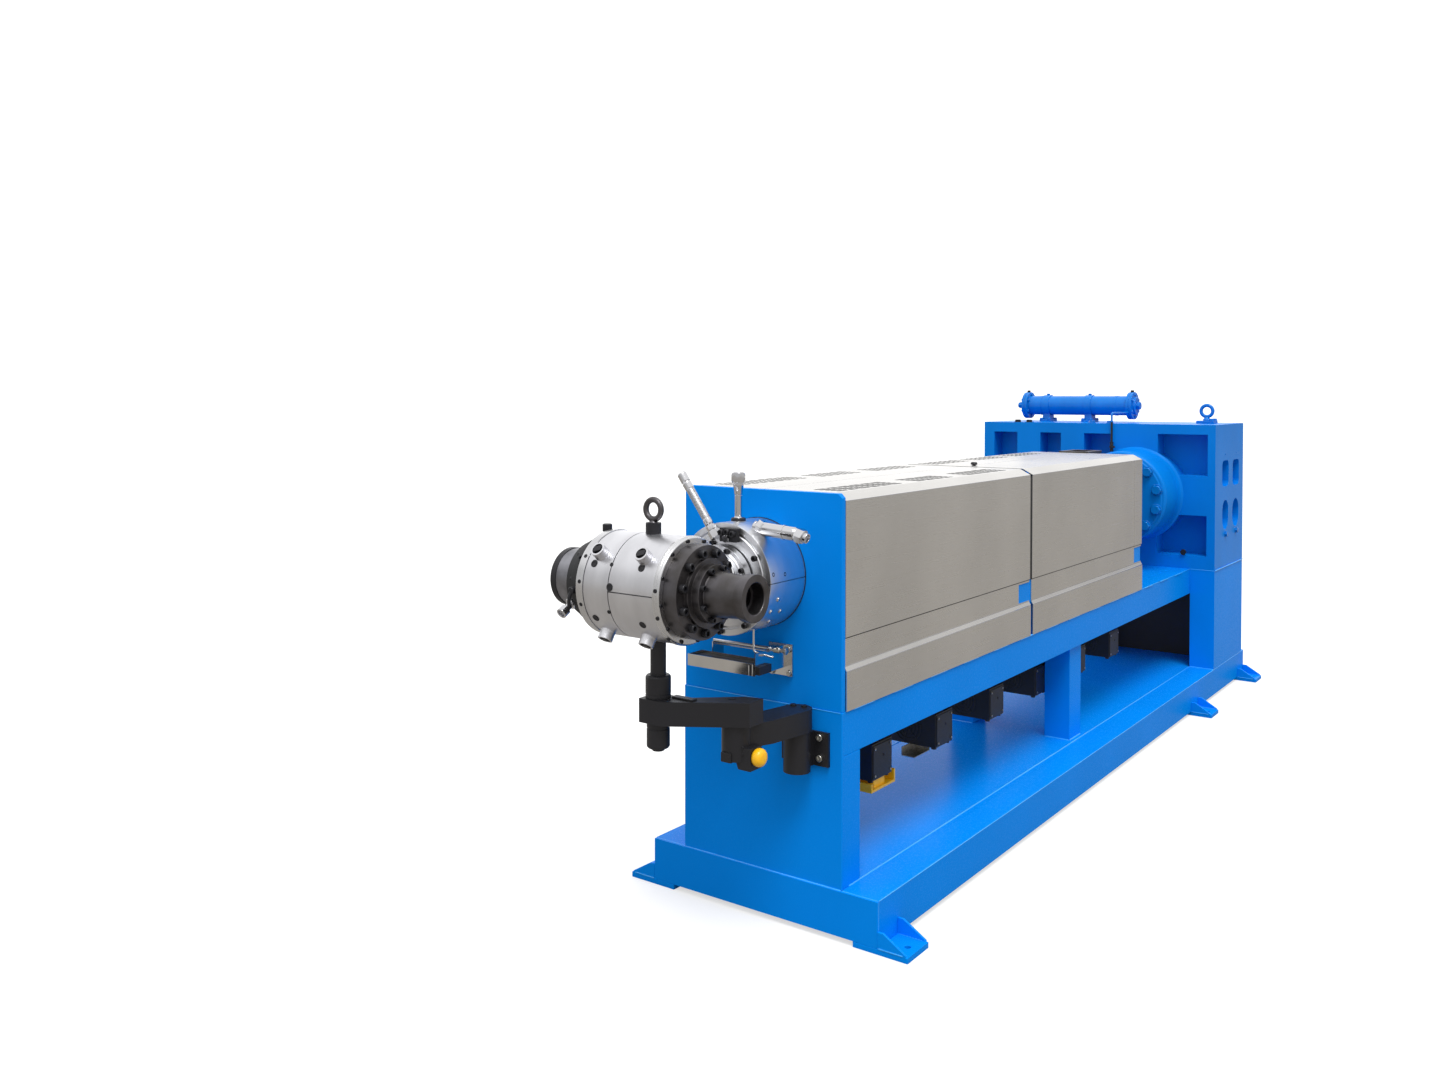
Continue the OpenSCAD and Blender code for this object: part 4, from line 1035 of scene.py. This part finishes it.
class ClampAndTray(bpy.types.Operator):
    """Barrel clamp with its screws, the three sensors on it, and the drip tray below"""

    bl_idname = "extruder.clamp"
    bl_label = "Clamp, sensors and tray"

    def execute(self, context):
        y0, y1, r = CLAMP_LOW[1], CLAMP_HIGH[1], CLAMP_R
        rows = [[y0, 86], [y0, r - 26], [y0 + 3, r - 24], [y0 + 3, r - 20], [y0, r - 18], [y0, r], [y1, r], [y1, 86]]
        gap = math.degrees(1 / r)
        halves = [along_line(hoop(rows, 1.6, 80, (a + gap, a + 180 - gap))) for a in (0, 180)]
        piece("clamp_halves", "machine", clamp_steel, *halves, stands_for="barrel_clamp", angle=36)
        spots = np.array([(149, -126, 952), (133, -140, 919), (130, -89, 913), (105, -108, 884)], float)
        out = unit((spots - [0, 0, LINE_Z]) * [1, 0, 1])
        seat = out * (r - 0.5) + [0, 0, LINE_Z] + [0, 1, 0] * spots
        piece("clamp_side_screws", "machine", polished_steel,
              *(lathed([[0, 6.5], [2.6, 6.5], [4, 4], [4, TIP]], 0.8, 20, seat * flip, out * flip)
                for flip in ([1, 1, 1], [-1, 1, 1])))
        front = [(105, 1066), (-11, 854), (73, 880), (-38, 1097), (25, 1128), (-118, 1060), (-128, 940), (-70, 872),
                 (118, 934)]
        piece("clamp_front_screws", "machine", black_oxide,
              placed(socket_screw(11), [(x, y0, z) for x, z in front], (0, -1, 0)),
              placed(set_screw(12), *around_line([9, 7, 171, 174], r - 1, [-157, -102, -157, -102])))
        # Thin black ring round the clamp against the end plate: painted shadow
        shadow_ring = [[-2, 85], [-2, r + 1.6], [0, r + 1.6], [0, 85]]
        piece("barrel_shadow_ring", "machine", black_oxide, along_line(hoop(shadow_ring, 0.5, 80)), slot="dark_steel")
        self.pressure_sensor(y0)
        self.top_sensors(LINE_Z + r)
        self.tray()
        return {"FINISHED"}

    def pressure_sensor(self, face):
        foot, lean = np.array([-15, face - 14, LINE_Z + 116]), in_plane(-36)
        nut = joined(hex_body(22, 31), placed(hex_body(14, 25), (0, 0, 24)),
                     lathed([[36, 10], [40, 10], [44, 12.5], [58, 12.5], [62, 10]], 1, 28))
        ferrule = [[158, 11.5], [160, 13], [178, 13.5], [180, 12], [182, 12], [184, 13.5], [208, 13.5], [212, 12],
                   [212, 8.5], [204, 8], [203.5, TIP]]
        piece("pressure_sensor_body", "machine", polished_steel, placed(nut, foot, lean),
              lathed(ferrule, 1, 32, foot, lean), placed(hex_body(12, 20), (24, face - 17, LINE_Z + 116), (0, -1, 0)))
        piece("pressure_sensor_sleeve", "machine", braided_sleeve,
              placed(turned([[60, 10.5], [66, 11.8], [160, 11.8]], 28), foot, lean))
        screws = [(x, face - 18, LINE_Z + z) for x, z in ((6, 132), (26, 134), (45, 130))]
        piece("pressure_sensor_block", "machine", black_oxide,
              brick((-5, face - 18, LINE_Z + 106), (56, face, LINE_Z + 144), 2.5, 6),
              placed(socket_screw(11), screws, (0, -1, 0)))

    def top_sensors(self, top):
        foot = (-8, -95, top)
        stem = [[-6, 16], [6, 16], [8, 12], [12, 10.5], [70, 10.5], [70, 9.5], [73, 9.5], [73, 11.5], [82, 12],
                [98, 15], [104, 15], [104, 13], [108, 13], [108, TIP]]
        dome = [[131, 16], [134.5, 16], [137, 13], [138, TIP]]
        piece("thermocouple", "machine", polished_steel,
              placed(joined(lathed(stem, 0.8, 36), placed(hex_body(27, 38, 4), (0, 0, 106.5)), lathed(dome, 1.2, 28)),
                     foot))
        piece("thermocouple_foot", "machine", black_oxide,
              lathed([[-10, 21], [5, 21], [8, 17], [8, TIP]], 1, 32, foot))
        at, way = np.array([40, -115, top - 12]), in_plane(94)
        barrel = [[24, TIP], [24, 17], [26, 19], [118, 19], [118, 20.5], [124, 20.5], [124, 19], [156, 19],
                  [164, 15], [170, 15], [170, TIP]]
        seat = [[-12, 14], [2, 14], [4, 17], [12, 17], [14, 21], [24, 22], [38, 15], [38, TIP]]
        elbow = joined(hex_body(24, 38, 2.5), lathed([[20, 14], [35, 14], [35, 10], [28, 9.5], [27, TIP]], 0.8, 28))
        piece("side_transducer", "machine", polished_steel, lathed(barrel, 1, 36, at, way),
              lathed(seat, 1, 32, (78, -115, LINE_Z + CLAMP_R * 0.8), (0.42, 0, 0.9)),
              placed(elbow, at + way * 162, in_plane(106)), stands_for="clamp_sensors")

    def tray(self):
        dress(mirror_stainless, 0.5, "drip_tray")
        (x0, y0, _), (x1, _, _) = span("drip_tray")
        base = LINE_Z - CLAMP_R - 102
        piece("tray_liner", "machine", black_oxide,
              brick((x0 + 3.5, y0 + 3.5, base + 3), (x1 - 3.5, -103.5, base + 26), 1))
        handle = [[0, 9], [10, 9], [12, 6], [26, 6], [28, 10], [34, 10], [36, TIP]]
        piece("tray_screws", "machine", zinc_plate,
              placed(hex_screw(9), [(106, -6, 790), (106, -6, 722), (48, -6, 722)], (0, -1, 0)),
              lathed(handle, 1, 28, (99, -60, 797), (1, 0, 0)))
        piece("tray_bar", "machine", polished_steel, tube([(-96, -92, 806), (99, -92, 806)], 6, 16))
        rod = bend([(70, -130, 884), (70, -130, 806), (74, -130, 800), (123, -112, 788)], 8)
        pins = [tube([(x, -163, 742), (x, -163, z)], 2.6, 10) for x, z in ((78, 770), (90, 774))]
        piece("tray_rod", "machine", polished_steel, tube(rod, 3.2, 12),
              lathed([[0, 5], [14, 6], [18, 4], [18, TIP]], 1, 20, (70, -130, 868)), *pins)


class Crosshead(bpy.types.Operator):
    """Head body, heater shells, bosses, die, nozzle, guide tube and lifting eye"""

    bl_idname = "extruder.crosshead"
    bl_label = "Crosshead"

    def execute(self, context):
        low, high = span("head_body")
        ends = low[0], SHELL_LOW[0], SHELL_HIGH[0], high[0]
        self.core(*ends)
        self.screws(ends[0], ends[3])
        self.bosses()
        self.die()
        self.guide()
        self.neck()
        eye_x, base = -80, LINE_Z + SHELL_R + 29
        collar = [[LINE_Z + CORE_R, 21], [base - 34, 21], [base - 32, 19], [base - 30, 21], [base, 21], [base, TIP]]
        piece("eye_collar", "head", black_oxide, lathed(collar, 1.5, 36, (eye_x, HEAD[1], 0)),
              stands_for="head_eyebolt")
        piece("eye_bolt", "head", nitrided_steel, placed(lifting_eye(34, 8, 0.5, 13), (eye_x, HEAD[1], base)))
        return {"FINISHED"}

    def core(self, x0, x1, x2, x3):
        rc, rr = CORE_R, END_RING_R
        rows = [[x0, BORE_R], [x0, rr], [x1, rr], [x1, rc], [x2, rc], [x2, rr], [x2 + 9, rr], [x2 + 10, rr - 2],
                [x3 - 4, rr - 2], [x3, rr - 5], [x3, BORE_R]]
        piece("head_core", "head", turned_steel, along_x(hoop(rows, 1.8)), stands_for="head_body", angle=36)
        # One shell is closed, the other, past the split, is in two halves
        split, gap = -117, math.degrees(1.6 / SHELL_R)
        closed, cut = ([[a, rc], [a, SHELL_R], [b, SHELL_R], [b, rc]]
                       for a, b in ((x1 + 0.6, split - 1), (split + 1, x2 - 0.6)))
        shells = [hoop(closed, 2.2)] + [hoop(cut, 2.2, 72, (s + gap, s + 180 - gap)) for s in (0, 180)]
        piece("heater_shells", "head", shell_aluminium, *map(along_x, shells), stands_for="head_heaters", angle=36)

    def screws(self, back_x, front_x):
        ports = on_both_sides([(-178, 28), (-16, 29), (-180, -34), (-18, -34), (-110, 5)], SHELL_R)
        n = counts().ring_screws
        front, back = (on_head(x, np.arange(n) * 360 / n + 21, END_RING_R - 10)[0] for x in (front_x, back_x))
        rim = on_head([43.5] * 3 + [-216] * 3 + [43.5] * 2 + [-216] * 2,
                      [7, -22, -52, 35, 7, -18, 187, 158, 180, 150], END_RING_R - 0.4)
        piece("head_ring_screws", "head", black_oxide, placed(set_screw(21), *ports),
              placed(set_screw(11), *on_head([-118.0, -122.0], [29, -23], SHELL_R)),
              placed(socket_screw(7, 4), front, (1, 0, 0)), placed(socket_screw(7, 4), back, (-1, 0, 0)),
              placed(set_screw(11), *rim))

    def bosses(self):
        at, out = on_both_sides([(-165, 40), (-15, 40), (-175, -58), (-31, -57)], SHELL_R - 4)
        wall = hoop([[0, 14], [0, 21], [6, 21], [8, 20.4], [29, 20.4], [29, 15], [8, 14]], 1.1, 36)
        piece("boss_tubes", "head", shell_aluminium, placed(wall, at, out), stands_for="head_bosses")
        inner = joined(turned([[2, 14.5], [20, 14.5], [20, TIP]], 24), brick((-12, -8, 19), (12, 8, 31), 2))
        piece("boss_screws", "head", black_oxide, placed(inner, at, out, 20))

    def die(self):
        low, high = span("die_flange")
        x0, x1, x2, x3, r = low[0], 96, 107, high[0], half_height("die_flange")
        rows = [[x0, BORE_R], [x0, r], [x1, r], [x1, 90], [x2, 90], [x2, 76], [x3, 76], [x3, BORE_R]]
        piece("die_ring", "head", nitrided_steel, along_x(hoop(rows, 2.2)), stands_for="die_flange", angle=36)
        n = counts().flange_screws
        outer, _ = on_head(x1, np.arange(n) * 360 / n + 13, 104)
        inner, _ = on_head(x3, np.arange(8) * 45 + 20, 68)
        piece("die_screws", "head", black_oxide, placed(socket_screw(15, 14), outer, (1, 0, 0)),
              placed(socket_screw(10.5, 11), inner, (1, 0, 0)))
        low, high = span("die_nozzle")
        n0, n1, rn = low[0], high[0], half_height("die_nozzle")
        rows = [[n0, BORE_R], [n0, 60.5], [n0 + 4, 59], [n0 + 60, 56], [n1 - 30, 54], [n1 - 28, rn - 1], [n1, rn],
                [n1, 42], [n1 - 3, 40], [n1 - 38, 40], [n1 - 38, 33], [n1 - 52, 33], [n1 - 52, 27], [n1 - 70, 27],
                [n1 - 70, BORE_R]]
        piece("nozzle", "head", nitrided_steel, along_x(hoop(rows, 1.4)), stands_for="die_nozzle", angle=36)

    def guide(self):
        (x0, _, _), (x1, _, _) = span("guide_tube")
        x3 = span("guide_rings")[1][0]
        x2, r, rt = x3 - 41, half_height("guide_rings"), half_height("guide_tube")
        rows = [[x1, BORE_R], [x1, r - 14], [x1 + 22, r - 14], [x1 + 22, r - 18], [x2, r - 18], [x2, r], [x3, r],
                [x3, BORE_R]]
        piece("guide_flanges", "head", powder_black, along_x(hoop(rows, 2)), slot="black_oxide",
              stands_for="guide_rings", angle=36)
        rows = [[x0 + 16, 60], [x0 + 16, rt], [x1 - 2, rt], [x1, rt], [x1, BORE_R], [x1 - 12, BORE_R], [x0 + 46, 34],
                [x0 + 46, 60]]
        piece("guide_pipe", "head", worn_steel, along_x(hoop(rows, 1.5)), stands_for="guide_tube", angle=36)
        rows = [[x0, 63], [x0, rt], [x0 + 2, rt + 2], [x0 + 20, rt + 2], [x0 + 21, rt], [x0 + 21, 63]]
        piece("guide_mouth_ring", "head", black_oxide, along_x(hoop(rows, 1.2)), angle=36)
        rim = on_head([-247, -247, -250, -250, -247, -247], [35, 62, 118, 150, 205, 240], r - 0.5)
        face, _ = on_head(x2, np.arange(10) * 36 + 8, r - 7)
        stud = [[0, 9], [16, 9], [17, 13.5], [36, 13.5], [38, 11], [38, TIP]]
        piece("guide_screws", "head", black_oxide, placed(socket_screw(12, 9), *rim),
              placed(socket_screw(8, 6), face, (-1, 0, 0)), lathed(stud, 0.8, 28, (-245, HEAD[1], LINE_Z + r - 1)))
        at, out = on_head(-254.0, -5, r - 1)
        arm = at[0] + out[0] * 14, at[0] + out[0] * 20 + [-4, 0, -18], at[0] + out[0] * 16 + [-8, 0, -44]
        piece("guide_lever", "head", black_oxide, lathed([[0, 11], [18, 10], [20, 8], [20, TIP]], 1, 24, at, out),
              tube(bend(arm, 6), 5, 12))
        spout = [[14, 9], [36, 10], [38, 15], [58, 15], [58, 10], [50, 9], [49.5, TIP]]
        piece("guide_spout", "head", polished_steel,
              placed(joined(hex_body(18, 30), lathed(spout, 0.8, 28)), *on_head(-290.0, -30, r - 22)))

    def neck(self):
        y0, y1, r = HEAD[1] + 96, span("neck")[1][1], half_height("neck")
        face = y1 - 26
        rows = [[y0, 72], [y1 - 50, 72], [y1 - 44, 76], [y1 - 38, 76], [y1 - 34, 72], [y1 - 32, 72], [y1 - 32, r - 14],
                [y1 - 30, r - 12], [face, r - 12], [face, r], [y1, r], [y1, 52], [y0, 52]]
        piece("head_neck", "head", clamp_steel, along_line(hoop(rows, 1.4, 80)), stands_for="neck", angle=36)
        seat = HEAD[1] + SHELL_R + 2
        port = [[seat, TIP], [seat, 51.5], [seat + 8, 51.5], [seat + 8, 34], [seat + 3, 26], [seat + 3, TIP]]
        piece("melt_port", "head", barrel_steel, along_line(turned(port, 48)))
        circle, _ = around_line(np.arange(8) * 45 + 22.5, r - 8, face)
        piece("neck_screws", "head", black_oxide, placed(socket_screw(10), circle, (0, -1, 0)))


class SupportArm(bpy.types.Operator):
    """Two-part swing arm with its hinges, the yellow knob and the rod that carries the head"""

    bl_idname = "extruder.support_arm"
    bl_label = "Support arm"

    def execute(self, context):
        dress(black_oxide, 2.0, "arm_bracket", "arm_inner", "arm_outer")
        hub = span("arm_inner")[0][2]
        (_, _, low), (_, _, top) = span("arm_outer")
        plate = [(x, -12, z) for x in (212, 108) for z in (560, 502)]
        piece("bracket_screws", "machine", zinc_plate, placed(socket_screw(13, 9), plate, (0, -1, 0)))
        piece("inner_arm_screws", "inner_arm", black_oxide,
              placed(socket_screw(12, 5), [(138, -35, low - 1.5), (169, -28, low - 1.5)]))
        piece("outer_arm_screws", "head", black_oxide,
              lathed([[0, 12], [1.2, 12], [1.2, 8], [0.6, TIP]], 0.4, 24, (105, -280, top)),
              brick((-26, -372, top - 1), (44, -350, top + 5), 1.5, 3))
        piece("hub_tab", "inner_arm", black_oxide, brick((94, -316, hub - 2), (128, -300, hub + 24), 2, 4),
              placed(set_screw(12), (100, -312.5, hub + 12), (-0.3, -1, 0)))
        self.knob()
        self.rod(low, top)
        return {"FINISHED"}

    def knob(self):
        low, high = span("arm_knob")
        _, y, z = middle("arm_knob")
        x0, x1 = low[0] - 4, high[0]
        side = [[x0 - 26, -24], [x1 - 46, -24], [x1 - 33, -12], [x1 - 33, 18], [x1 - 40, 36], [x0 - 26, 36]]
        block = prism(rounded([[a - x0, -b] for a, b in side], 3, 2), -22, 30, 2)
        piece("knob_block", "inner_arm", black_oxide, placed(block, (x0, y, z), (0, 1, 0)),
              placed(set_screw(9), [(x1 - 56, y - 22, z + 6), (x1 - 56, y - 22, z + 24)], (0, -1, 0)))
        stem = [[x0, 9], [x1 - 34, 9], [x1 - 34, 12], [x1 - 24, 12], [x1 - 24, TIP]]
        piece("knob_stem", "inner_arm", black_oxide, lathed(stem, 1, 28, (0, y, z), (1, 0, 0)))
        ball = [[x1 - 32, TIP], [x1 - 32, 13], [x1 - 27, 22], [x1 - 17, 25], [x1 - 7, 23], [x1 - 1, 15], [x1, TIP]]
        piece("knob_head", "inner_arm", yellow_abs, lathed(ball, 4, 40, (0, y, z), (1, 0, 0)),
              stands_for="arm_knob", angle=50)

    def rod(self, low, top):
        foot, head = span("support_rod")[0][2], LINE_Z - SHELL_R + 16
        rows = [[foot, TIP], [foot, 15], [foot + 3, 18], [foot + 8, 18], [foot + 8, 27], [foot + 13, 31],
                [low - 18, 31], [low - 18, 29], [low - 14, 29], [low - 14, 31], [low, 31], [low, 21], [top, 21],
                [top, 34], [top + 8, 34], [top + 8, 33], [top + 12, 33], [top + 12, 34], [top + 56, 34],
                [top + 61, 30], [top + 61, 21], [head, 21], [head, TIP]]
        piece("rod_and_nut", "head", black_oxide, lathed(rows, 1.4, 48, (-60, HEAD[1] - 5, 0)),
              stands_for="support_rod", angle=36)


class HiddenLine(bpy.types.Operator):
    """Barrel, screw, heater shells and feed block inside the hoods"""

    bl_idname = "extruder.hidden_line"
    bl_label = "Barrel, screw and feed block"

    def execute(self, context):
        dress(barrel_steel, 1.0, "barrel", "feed_block", "screw")
        dress(shell_aluminium, 1.5, "barrel_heaters")
        return {"FINISHED"}


STEPS = (StudioStage, PaintedFrame, SlottedHoods, Blowers, GearboxAndCooler, ClampAndTray, Crosshead, SupportArm,
         HiddenLine)


class ExtruderPanel(bpy.types.Panel):
    bl_idname = "VIEW3D_PT_extruder"
    bl_label = "Extruder"
    bl_space_type = "VIEW_3D"
    bl_region_type = "UI"
    bl_category = "Extruder"

    def draw(self, context):
        for group in (colours(), counts()):
            for key in group.__annotations__:
                self.layout.prop(group, key)
        for step in STEPS:
            self.layout.operator(step.bl_idname)


CLASSES = (ExtruderColours, ExtruderSizes, *STEPS, ExtruderPanel)


def register():
    for item in CLASSES:
        bpy.utils.register_class(item)
    bpy.types.Scene.extruder_colours = PointerProperty(type=ExtruderColours)
    bpy.types.Scene.extruder_sizes = PointerProperty(type=ExtruderSizes)


def unregister():
    del bpy.types.Scene.extruder_sizes
    del bpy.types.Scene.extruder_colours
    for item in reversed(CLASSES):
        bpy.utils.unregister_class(item)


def main():
    register()
    for step in STEPS:
        group, name = step.bl_idname.split(".")
        getattr(getattr(bpy.ops, group), name)()


if __name__ == "__main__":
    main()
